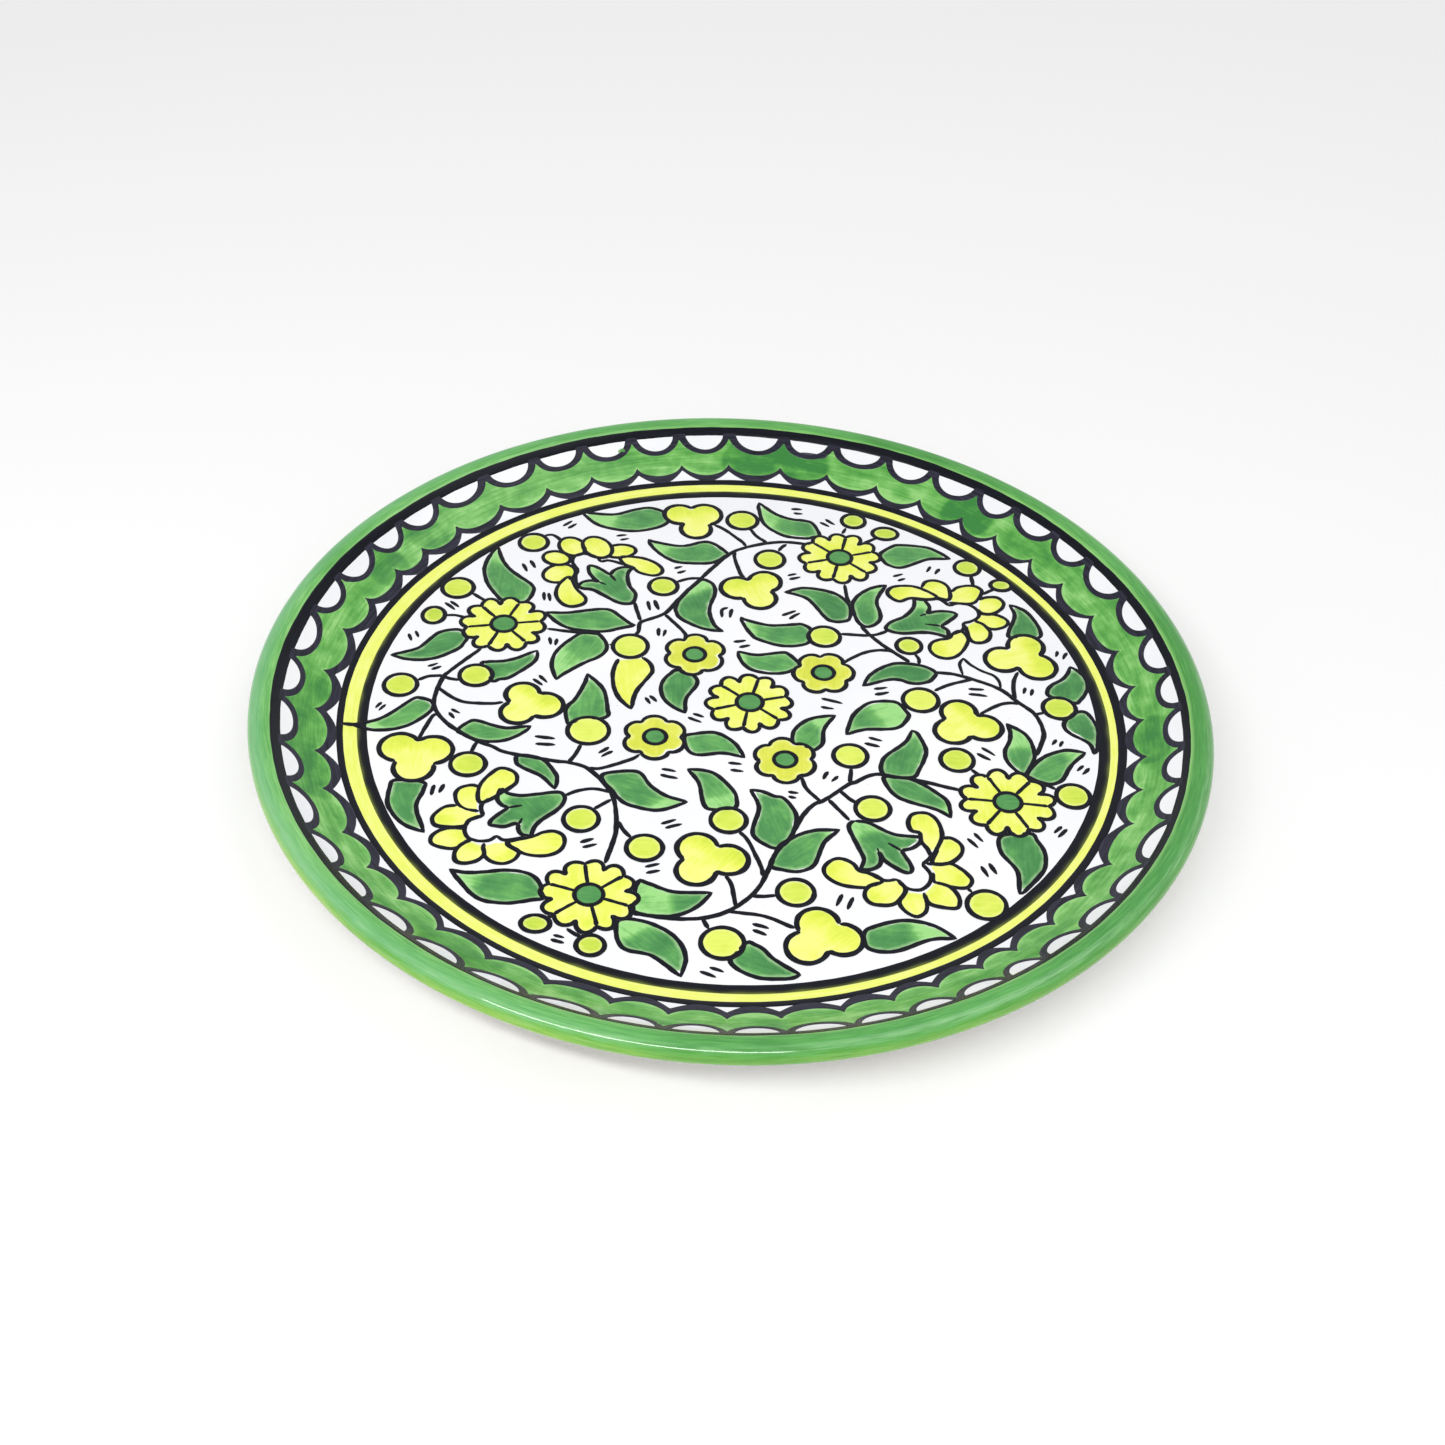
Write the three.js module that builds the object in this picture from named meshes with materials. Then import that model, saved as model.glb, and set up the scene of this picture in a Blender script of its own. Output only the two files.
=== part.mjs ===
// A shallow round dinner plate in glazed earthenware, turned about the Z axis.
// Units are millimetres. Z = 0 is the plane the foot ring stands on, and the
// origin is on the plate's axis. The fired clay body carries thin coats of
// glaze that lie side by side on it, one solid for each coat or painted ring.

import * as THREE from "three";

// Driving dimensions
const SEGMENTS = 60;
const PLATE_RADIUS = 135;
const GLAZE_THICKNESS = 0.5;

// Height and thickness of the dish
const FOOT_HEIGHT = 5;
const FLOOR_THICKNESS = 6;
const WELL_HEIGHT = FOOT_HEIGHT + FLOOR_THICKNESS;

// Radii where one painted ring ends and the next begins
const WELL_RADIUS = 103.9;
const YELLOW_INNER_RADIUS = 107;
const YELLOW_OUTER_RADIUS = 109.9;
const BORDER_INNER_RADIUS = 111.7;
const BORDER_OUTER_RADIUS = 126.5;
const SHOULDER_RADIUS = 128;

// The wall climbs on a parabola from the well to the shoulder
const SHOULDER_RISE = 10.1;
const BORDER_STEPS = 4;

// The lip is a round bead with its centre inside the clay, from its crown at
// 90 degrees out past the widest point at 0 degrees to its underside
const LIP_BEAD_RADIUS = 3;
const LIP_CENTRE_RADIUS = PLATE_RADIUS - LIP_BEAD_RADIUS;
const LIP_CENTRE_RISE = 8.1;
const LIP_START_ANGLE = 90;
const LIP_END_ANGLE = -60;
const LIP_STEP_ANGLE = 30;
const CROWN_DIP = 0.2;

// The back of the wall climbs from the flat underside to the lip
const BACK_FLAT_RADIUS = 100;
const BACK_CURVE_POWER = 1.7;
const BACK_STEPS = 4;

// The foot ring: bearing face between two chamfered sides
const FOOT_OUTER_ROOT = [87.5, FOOT_HEIGHT];
const FOOT_OUTER_NECK = [85.4, 4];
const FOOT_OUTER_GLAZE_EDGE = [84.6, 1.6];
const FOOT_BEARING_OUTER = 82.6;
const FOOT_BEARING_INNER = 78.6;
const FOOT_INNER_GLAZE_EDGE = [76.8, 1.6];
const FOOT_INNER_NECK = [76.2, 4];
const FOOT_INNER_ROOT = [74.2, FOOT_HEIGHT];

// Height of the eating surface at a radius
function faceHeight(radius) {
  const climb = Math.max(0, radius - WELL_RADIUS) / (SHOULDER_RADIUS - WELL_RADIUS);
  return WELL_HEIGHT + SHOULDER_RISE * climb ** 2;
}

// Height of the underside between the flat and the lip
function backHeight(radius, lipEnd) {
  const climb = (radius - BACK_FLAT_RADIUS) / (lipEnd.x - BACK_FLAT_RADIUS);
  return FOOT_HEIGHT + (lipEnd.y - FOOT_HEIGHT) * climb ** BACK_CURVE_POWER;
}

function lipPoint(degrees) {
  const angle = THREE.MathUtils.degToRad(degrees);
  return new THREE.Vector2(
    LIP_CENTRE_RADIUS + LIP_BEAD_RADIUS * Math.cos(angle),
    WELL_HEIGHT + LIP_CENTRE_RISE + LIP_BEAD_RADIUS * Math.sin(angle),
  );
}

// The outline of the finished plate, from the middle of the well over the lip
// to the middle of the back. Each station notes the place where a coat begins.
const outline = [];
const stations = {};

function addPoint(radius, height, station) {
  outline.push(new THREE.Vector2(radius, height));
  if (station) {
    stations[station] = outline.length - 1;
  }
}

function addFace(radius, station) {
  addPoint(radius, faceHeight(radius), station);
}

function buildOutline() {
  addPoint(0, WELL_HEIGHT, "wellMiddle");
  addFace(WELL_RADIUS, "wellEdge");
  addFace(YELLOW_INNER_RADIUS, "yellowInner");
  addFace(YELLOW_OUTER_RADIUS, "yellowOuter");
  addFace(BORDER_INNER_RADIUS, "borderInner");
  for (let step = 1; step < BORDER_STEPS; step++) {
    addFace(THREE.MathUtils.lerp(BORDER_INNER_RADIUS, BORDER_OUTER_RADIUS, step / BORDER_STEPS));
  }
  addFace(BORDER_OUTER_RADIUS, "borderOuter");
  addFace(SHOULDER_RADIUS, "shoulder");
  const crown = lipPoint(LIP_START_ANGLE);
  addPoint((SHOULDER_RADIUS + crown.x) / 2, crown.y - CROWN_DIP);
  for (let angle = LIP_START_ANGLE; angle > LIP_END_ANGLE; angle -= LIP_STEP_ANGLE) {
    const point = lipPoint(angle);
    addPoint(point.x, point.y);
  }
  const lipEnd = lipPoint(LIP_END_ANGLE);
  addPoint(lipEnd.x, lipEnd.y, "backOuter");
  for (let step = BACK_STEPS - 1; step >= 0; step--) {
    const radius = THREE.MathUtils.lerp(BACK_FLAT_RADIUS, lipEnd.x, step / BACK_STEPS);
    addPoint(radius, backHeight(radius, lipEnd));
  }
  addPoint(...FOOT_OUTER_ROOT);
  addPoint(...FOOT_OUTER_NECK);
  addPoint(...FOOT_OUTER_GLAZE_EDGE, "footOuter");
  addPoint(FOOT_BEARING_OUTER, 0);
  addPoint(FOOT_BEARING_INNER, 0);
  addPoint(...FOOT_INNER_GLAZE_EDGE, "footInner");
  addPoint(...FOOT_INNER_NECK);
  addPoint(...FOOT_INNER_ROOT);
  addPoint(0, FOOT_HEIGHT, "backMiddle");
}

// Each outline point moved into the clay by the thickness of the coat
function insetOutline() {
  return outline.map((point, index) => {
    const before = outline[Math.max(0, index - 1)];
    const after = outline[Math.min(outline.length - 1, index + 1)];
    const along = after.clone().sub(before).normalize();
    const inward = new THREE.Vector2(along.y, -along.x);
    if (point.x === 0) {
      inward.set(0, index === 0 ? -1 : 1);
    }
    return point.clone().addScaledVector(inward, GLAZE_THICKNESS);
  });
}

// A turned solid faces outwards when its profile runs from the bottom upwards,
// so the profile is reversed here
function turned(name, profile, color, roughness) {
  const geometry = new THREE.LatheGeometry(profile.toReversed(), SEGMENTS);
  geometry.rotateX(Math.PI / 2);
  const material = new THREE.MeshStandardMaterial({ color, roughness, metalness: 0 });
  const mesh = new THREE.Mesh(geometry, material);
  mesh.name = name;
  return mesh;
}

buildOutline();
const claySurface = insetOutline();

// A coat lies between the outline and the clay, from one station to the next.
// A coat that reaches the axis starts and ends there; a ring closes on itself.
function coatProfile(from, to) {
  const first = stations[from];
  const last = stations[to];
  const outside = outline.slice(first, last + 1);
  const inside = claySurface.slice(first, last + 1).reverse();
  if (first === stations.wellMiddle) {
    return [...outside, ...inside];
  }
  if (last === stations.backMiddle) {
    return [...inside, ...outside];
  }
  return [...outside, ...inside, outside[0].clone()];
}

// The clay comes out to the full outline only on the bare rim of the foot
function clayProfile() {
  return [
    ...claySurface.slice(0, stations.footOuter + 1),
    ...outline.slice(stations.footOuter, stations.footInner + 1),
    ...claySurface.slice(stations.footInner),
  ];
}

const coats = [
  { name: "well_glaze", from: "wellMiddle", to: "wellEdge", color: 0xf4f6fa, roughness: 0.12 },
  { name: "inner_black_ring", from: "wellEdge", to: "yellowInner", color: 0x20242e, roughness: 0.2 },
  { name: "yellow_ring", from: "yellowInner", to: "yellowOuter", color: 0xe6f04a, roughness: 0.15 },
  { name: "middle_black_ring", from: "yellowOuter", to: "borderInner", color: 0x20242e, roughness: 0.2 },
  { name: "border_glaze", from: "borderInner", to: "borderOuter", color: 0x62b45a, roughness: 0.15 },
  { name: "outer_black_ring", from: "borderOuter", to: "shoulder", color: 0x20242e, roughness: 0.2 },
  { name: "green_lip_glaze", from: "shoulder", to: "backOuter", color: 0x53ab4f, roughness: 0.15 },
  { name: "back_glaze", from: "backOuter", to: "footOuter", color: 0xeef1f0, roughness: 0.2 },
  { name: "foot_recess_glaze", from: "footInner", to: "backMiddle", color: 0xeef1f0, roughness: 0.2 },
];

const plate = new THREE.Group();
plate.add(turned("clay_body", clayProfile(), 0xd9a679, 0.85));
for (const coat of coats) {
  plate.add(turned(coat.name, coatProfile(coat.from, coat.to), coat.color, coat.roughness));
}

export default plate;
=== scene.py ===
import math
import random

import bpy
import numpy as np
from mathutils import Matrix, Vector
from mathutils.geometry import delaunay_2d_cdt


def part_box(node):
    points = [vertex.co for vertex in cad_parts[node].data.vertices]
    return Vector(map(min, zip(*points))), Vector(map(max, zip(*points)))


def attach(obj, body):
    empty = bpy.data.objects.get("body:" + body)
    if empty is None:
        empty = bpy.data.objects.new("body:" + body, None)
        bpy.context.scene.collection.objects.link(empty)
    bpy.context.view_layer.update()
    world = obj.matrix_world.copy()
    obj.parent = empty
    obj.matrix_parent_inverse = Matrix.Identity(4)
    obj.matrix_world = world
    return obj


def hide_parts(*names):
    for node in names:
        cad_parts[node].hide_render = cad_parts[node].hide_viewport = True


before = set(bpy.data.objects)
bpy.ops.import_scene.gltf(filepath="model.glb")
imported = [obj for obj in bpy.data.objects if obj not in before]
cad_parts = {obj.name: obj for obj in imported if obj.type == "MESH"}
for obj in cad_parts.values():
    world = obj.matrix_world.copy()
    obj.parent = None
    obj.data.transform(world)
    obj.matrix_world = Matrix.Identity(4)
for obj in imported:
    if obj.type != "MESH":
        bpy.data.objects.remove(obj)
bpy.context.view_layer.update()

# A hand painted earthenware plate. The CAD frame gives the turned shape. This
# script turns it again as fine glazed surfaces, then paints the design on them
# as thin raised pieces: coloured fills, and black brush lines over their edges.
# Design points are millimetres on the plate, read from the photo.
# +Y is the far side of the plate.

MM = 0.001
WHITE_SLOT = "white_glaze"
GREEN_SLOT = "green_paint"
YELLOW_SLOT = "yellow_paint"
BLACK_SLOT = "black_paint"

# ---------------------------------------------------------------------------
# The plate's own sizes, in millimetres, from the frame
# ---------------------------------------------------------------------------


def top_of(node):
    """The largest radius and the greatest height of a CAD node."""
    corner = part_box(node)[1]
    return corner.x / MM, corner.z / MM


WELL_RADIUS, WELL_HEIGHT = top_of("well_glaze")
YELLOW_INNER_RADIUS = top_of("inner_black_ring")[0]
YELLOW_OUTER_RADIUS = top_of("yellow_ring")[0]
BORDER_INNER_RADIUS = top_of("middle_black_ring")[0]
BORDER_OUTER_RADIUS = top_of("border_glaze")[0]
SHOULDER_RADIUS, SHOULDER_HEIGHT = top_of("outer_black_ring")
PLATE_RADIUS, CROWN_HEIGHT = top_of("green_lip_glaze")
GLAZE_EDGE_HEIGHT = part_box("back_glaze")[0].z / MM
RECESS_HEIGHT = top_of("foot_recess_glaze")[1]

# Sizes of the lip and foot that no box gives
LIP_BEAD = 3.0
LIP_END_ANGLE = -60
BACK_FLAT_RADIUS = 100.0
BACK_POWER = 1.7
GLAZE_THICKNESS = 0.5
FOOT_OUTER = [(87.5, RECESS_HEIGHT), (85.9, 4.6), (85.4, 3.8), (84.9, 2.6), (84.6, GLAZE_EDGE_HEIGHT)]
FOOT_BEARING = [(84.1, 0.9), (83.4, 0.25), (82.6, 0.0), (78.6, 0.0), (77.9, 0.25), (77.3, 0.9)]
FOOT_INNER = [(76.8, GLAZE_EDGE_HEIGHT), (76.5, 2.6), (76.1, 3.8), (75.5, 4.6), (74.2, RECESS_HEIGHT)]

# How finely surfaces are turned: steps round the plate and along each profile
TURN_SEGMENTS = 288
RING_STEPS = 720
SCALLOP_STEPS = 1920
WELL_STEPS = 52
BORDER_STEPS = 24
CLAY_FACE_STEPS = 40
CROWN_STEPS = 9
CURVE_STEPS = 19
RECESS_STEPS = 15
RING_ROWS = 9
WAVE_ROWS = 15

# A hand turned dish's unevenness: a broad sway and a finer ripple
SWAY_HEIGHT = 0.05
SWAY_LENGTHS = (31, 27)
RIPPLE_HEIGHT = 0.03
RIPPLE_LENGTH = 14

# How far a coat's edge dips under the glaze, and how soon it rises from there
PAINT_SUNK = 0.06
LINE_SUNK = 0.08
FILL_ROUNDING = 0.45
RING_ROUNDING = 0.3
SCALLOP_ROUNDING = 0.15

# Where each kind of motif starts its own run of seeds
LEAF_SEED, BARE_LEAF_SEED, OVERRUN_SEED = 100, 150, 160
BERRY_SEED, TREFOIL_SEED, DROP_SEED = 200, 300, 360
DAISY_SEED, SMALL_FLOWER_SEED = 400, 500
PETAL_SEED, HEART_SEED, TULIP_SEED, NOTCH_SEED = 600, 700, 800, 860
MAIN_STEM_SEED, SIDE_STEM_SEED, TICK_SEED = 900, 920, 1000
GREEN_SLIP_SEED, BLACK_SLIP_SEED = 1200, 1220
PHASE_RANGE = 6.28


def face_height(radius):
    """Height of the eating surface at a radius; works on arrays."""
    climb = np.clip((radius - WELL_RADIUS) / (SHOULDER_RADIUS - WELL_RADIUS), 0, None)
    return WELL_HEIGHT + (SHOULDER_HEIGHT - WELL_HEIGHT) * climb**2


def hand_sway(x, y):
    """The slight unevenness that a hand turned dish has, in millimetres."""
    sway = SWAY_HEIGHT * np.sin(x / SWAY_LENGTHS[0] + 0.7) * np.cos(y / SWAY_LENGTHS[1] - 0.4)
    return sway + RIPPLE_HEIGHT * np.sin((x + y) / RIPPLE_LENGTH)


def surface_height(x, y):
    return face_height(np.hypot(x, y)) + hand_sway(x, y)


# ---------------------------------------------------------------------------
# Meshes
# ---------------------------------------------------------------------------


class Coat:
    """A mesh under construction, with the brush coordinates its paint needs.

    edge is the distance in mm from the paint's border. tone goes from 0, thin
    paint, to 1, thick paint. flow is slow along the brush and fast across it.
    """

    def __init__(self):
        self.points = []
        self.faces = []
        self.edge = []
        self.tone = []
        self.flow = []

    def add(self, points, faces, edge, tone, flow):
        start = len(self.points)
        self.points.extend(map(tuple, points))
        self.faces.extend(tuple(start + i for i in face) for face in faces)
        self.edge.extend(edge)
        self.tone.extend(tone)
        self.flow.extend(map(tuple, flow))

    def make(self, name, material, slot, node=None):
        """Makes the piece, which stands for the CAD node where one is given."""
        mesh = bpy.data.meshes.new(name)
        mesh.from_pydata((np.array(self.points) * MM).tolist(), [], self.faces)
        mesh.polygons.foreach_set("use_smooth", [True] * len(mesh.polygons))
        for label, values in (("edge", self.edge), ("tone", self.tone)):
            attribute = mesh.attributes.new(label, "FLOAT", "POINT")
            attribute.data.foreach_set("value", np.array(values, np.float32))
        attribute = mesh.attributes.new("flow", "FLOAT_VECTOR", "POINT")
        attribute.data.foreach_set("vector", np.array(self.flow, np.float32).ravel())
        mesh.materials.append(material)
        mesh.update()
        piece = bpy.data.objects.new(name, mesh)
        bpy.context.scene.collection.objects.link(piece)
        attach(piece, "root")
        if node:
            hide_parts(node)
        return piece


def round_angles(steps):
    return np.linspace(0, 2 * math.pi, steps, endpoint=False)


def grid_faces(rows, columns, closed=False):
    """Quads between the neighbouring points of a grid stored row by row. The
    last row joins the first where the grid is closed."""
    faces = []
    for i in range(rows if closed else rows - 1):
        for j in range(columns - 1):
            here = i * columns + j
            below = (i + 1) % rows * columns + j
            faces.append((here, below, below + 1, here + 1))
    return faces


# The size of the brush marks that run round the plate
BRUSH_CIRCLE = 12.0
BRUSH_ACROSS = 1.6


def circle_flow(angles, across, seed=0.0):
    """Brush coordinates of a line that runs round the plate, with no seam."""
    round_x, round_y = BRUSH_CIRCLE * np.cos(angles), BRUSH_CIRCLE * np.sin(angles)
    return np.stack([round_x, round_y, BRUSH_ACROSS * across + seed], -1)


def turned(name, profile, material, slot, node):
    """A turned surface whose profile runs from the middle outwards and under."""
    profile = np.array(profile, float)
    angles = round_angles(TURN_SEGMENTS)
    steps = np.hypot(*np.diff(profile, axis=0).T)
    length = np.concatenate([[0], np.cumsum(steps)])
    turn, radius = np.meshgrid(angles, profile[:, 0], indexing="ij")
    x, y = radius * np.cos(turn), radius * np.sin(turn)
    height = np.broadcast_to(profile[:, 1], radius.shape)
    z = height + hand_sway(x, y) * np.clip(height / WELL_HEIGHT, 0, 1)
    along = np.broadcast_to(length, radius.shape)
    points = np.stack([x, y, z], -1).reshape(-1, 3)
    coat = Coat()
    faces = grid_faces(len(angles), len(profile), closed=True)
    flow = circle_flow(turn, along).reshape(-1, 3)
    coat.add(points, faces, along.ravel(), along.ravel() / length[-1], flow)
    weld_axis(coat.make(name, material, slot, node))


WELD_DISTANCE = 0.01 * MM


def weld_axis(piece):
    """Merges the points that a turned surface has on the plate's axis."""
    modifier = piece.modifiers.new("weld", "WELD")
    modifier.merge_threshold = WELD_DISTANCE
    bpy.context.view_layer.objects.active = piece
    bpy.ops.object.modifier_apply(modifier=modifier.name)


def dome(share, height):
    """Height of a line's rounded paint, share going from -1 to 1 across it."""
    return (height + LINE_SUNK) * np.sqrt(np.clip(1 - share**4, 0, 1)) - LINE_SUNK


def band(coat, angles, inner, outer, height, rows, tone, seed, rounding=RING_ROUNDING):
    """Paint round the plate between two edges, given as radii at each angle.
    tone gives the paint's thickness from the degree, radius and depth."""
    width = outer - inner
    share = np.linspace(0, 1, rows)
    share = (1 - np.cos(math.pi * share)) / 2
    turn = angles[:, None]
    radius = inner[:, None] + width[:, None] * share
    edge = width[:, None] * np.minimum(share, 1 - share)
    rise = (height + PAINT_SUNK) * (1 - np.exp(-edge / rounding)) - PAINT_SUNK
    x, y = radius * np.cos(turn), radius * np.sin(turn)
    points = np.stack([x, y, surface_height(x, y) + rise], -1).reshape(-1, 3)
    flow = circle_flow(np.broadcast_to(turn, radius.shape), radius, seed)
    shade = tone(np.degrees(turn) % 360, radius, radius - inner[:, None])
    faces = [face[::-1] for face in grid_faces(len(angles), rows, closed=True)]
    coat.add(points, faces, edge.ravel(), shade.ravel(), flow.reshape(-1, 3))


def even_tone(value):
    """Paint of one thickness, on a band or in a fill."""
    return lambda *place: np.full(place[-1].shape, value)


# ---------------------------------------------------------------------------
# Paths and brush strokes
# ---------------------------------------------------------------------------

STEP = 0.7
SPAN_STEPS = 12
LINE_HEIGHT = 0.16
FILL_HEIGHT = 0.09

# Each brush line: its width, and its share of that at the start and at the end
OUTLINE = (1.4, 0.8, 0.8)
LEAF_LINE = (1.4, 0.6, 0.6)
BARE_LEAF_LINE = (1.1, 0.7, 0.7)
OVERRUN_LINE = (1.5, 1.0, 0.5)
LOBE_LINE = (1.55, 1.0, 1.0)
DROP_LINE = (1.5, 0.9, 0.6)
PETAL_LINE = (1.32, 0.95, 0.95)
RAY_LINE = (1.3, 0.8, 1.15)
CENTRE_LINE = (1.25, 0.8, 0.8)
TULIP_LINE = (1.35, 0.9, 0.9)
NOTCH_LINE = (1.1, 1.0, 0.4)
MAIN_STEM_LINE = (1.5, 0.75, 0.85)
SIDE_STEM_LINE = (1.35, 0.85, 0.95)
TICK_WIDTHS = (1.2, 1.5)
TICK_ENDS = (0.95, 0.65)
TICK_BEND = 0.12

# A brush line's ends: the taper's length, and the last point's width, reach
# and height
TAPER_LENGTH = 2.2
TIP_WIDTH = 0.45
TIP_REACH = 0.15
TIP_HEIGHT = 0.35

# How much a hand's line varies in width, as a share, and sideways, in mm
WIDTH_WOBBLE = 0.12
SIDE_WOBBLE = 0.05
SUNK_EDGE = 0.04

# How far a motif is lifted that covers the lines of the motif under it
UPPER_LAYER = 0.12


def points_of(text):
    """'x y, x y' as an array of points on the plate."""
    return np.array([[float(n) for n in pair.split()] for pair in text.split(",")])


def lines_of(text):
    """'x y, x y / x y, x y' as one array of points for each line."""
    return [points_of(part) for part in text.split("/")]


def motifs_of(text):
    """Motifs, split at ';', each as its lines."""
    return [lines_of(motif) for motif in text.split(";")]


def smooth(points, closed=False):
    """A Catmull-Rom curve through the points, at an even step."""
    p = np.asarray(points, float)
    if len(p) < 3:
        p = np.array([p[0], (p[0] + p[-1]) / 2, p[-1]])
    if closed:
        p = np.vstack([p[-1:], p, p[:2]])
    else:
        p = np.vstack([2 * p[0] - p[1], p, 2 * p[-1] - p[-2]])
    t = np.linspace(0, 1, SPAN_STEPS, endpoint=False)[:, None]
    pieces = []
    for a, b, c, d in zip(p[:-3], p[1:-2], p[2:-1], p[3:]):
        pieces.append(0.5 * (2 * b + (c - a) * t + (2 * a - 5 * b + 4 * c - d) * t**2
                             + (3 * b - a - 3 * c + d) * t**3))
    pieces.append(p[-2][None])
    return even(np.vstack(pieces))


def even(line):
    """The same line with points an even step apart."""
    length = np.concatenate([[0], np.cumsum(np.hypot(*np.diff(line, axis=0).T))])
    count = max(3, round(length[-1] / STEP) + 1)
    at = np.linspace(0, length[-1], count)
    return np.stack([np.interp(at, length, line[:, 0]), np.interp(at, length, line[:, 1])], -1)


def wobble(count, seed, size):
    """A slow seeded variation along a line, about size either way."""
    chance = random.Random(seed)
    x = np.arange(count) * STEP
    waves = ((3.1, 0.3), (5.7, 0.35), (11.0, 0.5), (23.0, 0.4))
    return size * sum(a * np.sin(x / w * 2 * math.pi + chance.uniform(0, PHASE_RANGE)) for w, a in waves)


STROKE_SHARES = np.array([-1.0, -0.82, -0.45, 0.0, 0.45, 0.82, 1.0])


def stroke(coat, line, brush, seed, closed=False, lift=0.0):
    """A raised black brush line along a path whose points are STEP apart."""
    width, start, end = brush
    count = len(line)
    direction = np.gradient(line, axis=0)
    if closed:
        direction[0] = direction[-1] = line[1] - line[-2]
    direction /= np.hypot(*direction.T)[:, None] + 1e-9
    side = np.stack([-direction[:, 1], direction[:, 0]], -1)
    along = np.arange(count) * STEP
    half = width / 2 * (1 + wobble(count, seed, WIDTH_WOBBLE)) + SUNK_EDGE
    ends = np.ones(count)
    if closed:
        half[-1] = half[0]
    else:
        half *= np.interp(along, [0, TAPER_LENGTH], [start, 1]) * np.interp(
            along[::-1], [0, TAPER_LENGTH], [end, 1])
        half[[0, -1]] *= TIP_WIDTH
        ends[[0, -1]] = TIP_HEIGHT
        line = line.copy()
        line[0] -= direction[0] * TIP_REACH
        line[-1] += direction[-1] * TIP_REACH
        line = line + side * wobble(count, seed + 7, SIDE_WOBBLE)[:, None]
    xy = line[:, None] + side[:, None] * (half[:, None] * STROKE_SHARES)[..., None]
    rise = dome(STROKE_SHARES, LINE_HEIGHT) + lift
    z = surface_height(xy[..., 0], xy[..., 1]) + rise * ends[:, None]
    points = np.concatenate([xy, z[..., None]], -1).reshape(-1, 3)
    edge = half[:, None] * (1 - abs(STROKE_SHARES))
    flow = np.empty((count, len(STROKE_SHARES), 3))
    flow[..., 0] = along[:, None] / 4
    flow[..., 1] = half[:, None] * STROKE_SHARES * 2
    flow[..., 2] = seed * 3.7
    faces = [face[::-1] for face in grid_faces(count, len(STROKE_SHARES))]
    coat.add(points, faces, edge.ravel(), np.zeros(edge.size), flow.reshape(-1, 3))


# ---------------------------------------------------------------------------
# Filled paint
# ---------------------------------------------------------------------------

# Points inside a fill: their spacing, the rows' share of it, and how much of
# it is kept clear at the edge
FILL_SPACING = 1.15
ROW_SHARE = 0.87
EDGE_SHARE = 0.45

# A fill's brush marks: mm to a mark along and marks to a mm across
BRUSH_ALONG = 7
MARKS_ACROSS = 1.1


def inside(points, loop):
    """Which points lie inside a closed loop."""
    x, y = points[:, 0:1], points[:, 1:2]
    x0, y0 = loop[:, 0], loop[:, 1]
    x1, y1 = np.roll(x0, -1), np.roll(y0, -1)
    crosses = (y0 > y) != (y1 > y)
    slope = np.where(y1 == y0, 1e-9, y1 - y0)
    return (crosses & (x < (x1 - x0) * (y - y0) / slope + x0)).sum(1) % 2 == 1


def interior_points(loop):
    """A triangular grid of points inside the loop and clear of its edge."""
    low, high = loop.min(0), loop.max(0)
    rows = np.arange(low[1], high[1], FILL_SPACING * ROW_SHARE)
    grid = []
    for k, y in enumerate(rows):
        xs = np.arange(low[0] + (k % 2) * FILL_SPACING / 2, high[0], FILL_SPACING)
        grid.append(np.stack([xs, np.full(len(xs), y)], -1))
    grid = np.vstack(grid)
    grid = grid[inside(grid, loop)]
    return grid[edge_distance(grid, loop) > FILL_SPACING * EDGE_SHARE]


def edge_distance(points, loop):
    """Distance from each point to the nearest side of the loop."""
    a = loop
    b = np.roll(loop, -1, axis=0)
    along = b - a
    size = np.maximum((along**2).sum(1), 1e-12)
    t = np.clip(((points[:, None] - a) * along).sum(-1) / size, 0, 1)
    nearest = a + along * t[..., None]
    return np.sqrt(((points[:, None] - nearest) ** 2).sum(-1)).min(1)


def fill(coat, loop, axis, tone, seed, lift=0.0):
    """Paint inside a closed loop. axis is the brush's direction, as two points;
    tone gives the paint's thickness from its share of the axis."""
    if np.hypot(*(loop[0] - loop[-1])) < STEP / 2:
        loop = loop[:-1]
    points = np.vstack([loop, interior_points(loop)])
    count = len(loop)
    rim = [(i, (i + 1) % count) for i in range(count)]
    made = delaunay_2d_cdt([Vector(p) for p in points], rim, [], 1, 1e-5)
    xy = np.array([tuple(p) for p in made[0]])
    edge = edge_distance(xy, loop)
    rise = (FILL_HEIGHT + PAINT_SUNK) * (1 - np.exp(-edge / FILL_ROUNDING)) - PAINT_SUNK + lift
    z = surface_height(xy[:, 0], xy[:, 1]) + rise
    start, end = np.array(axis[0]), np.array(axis[1])
    span = end - start
    length = max(np.hypot(*span), 1e-6)
    forward = span / length
    share = (xy - start) @ forward / length
    across = (xy - start) @ np.array([-forward[1], forward[0]])
    own = np.full(len(xy), seed * 5.3)
    flow = np.stack([share * length / BRUSH_ALONG, across * MARKS_ACROSS, own], -1)
    faces = [upward(face, xy) for face in made[2]]
    coat.add(np.column_stack([xy, z]), faces, edge, tone(share, across), flow)


LARGEST_POWER = 700.0


def upward(face, xy):
    """The face with its points in counter-clockwise order, so it faces up."""
    a, b, c = (xy[i] for i in face[:3])
    turn = (b[0] - a[0]) * (c[1] - a[1]) - (b[1] - a[1]) * (c[0] - a[0])
    return tuple(face) if turn > 0 else tuple(reversed(face))


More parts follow.
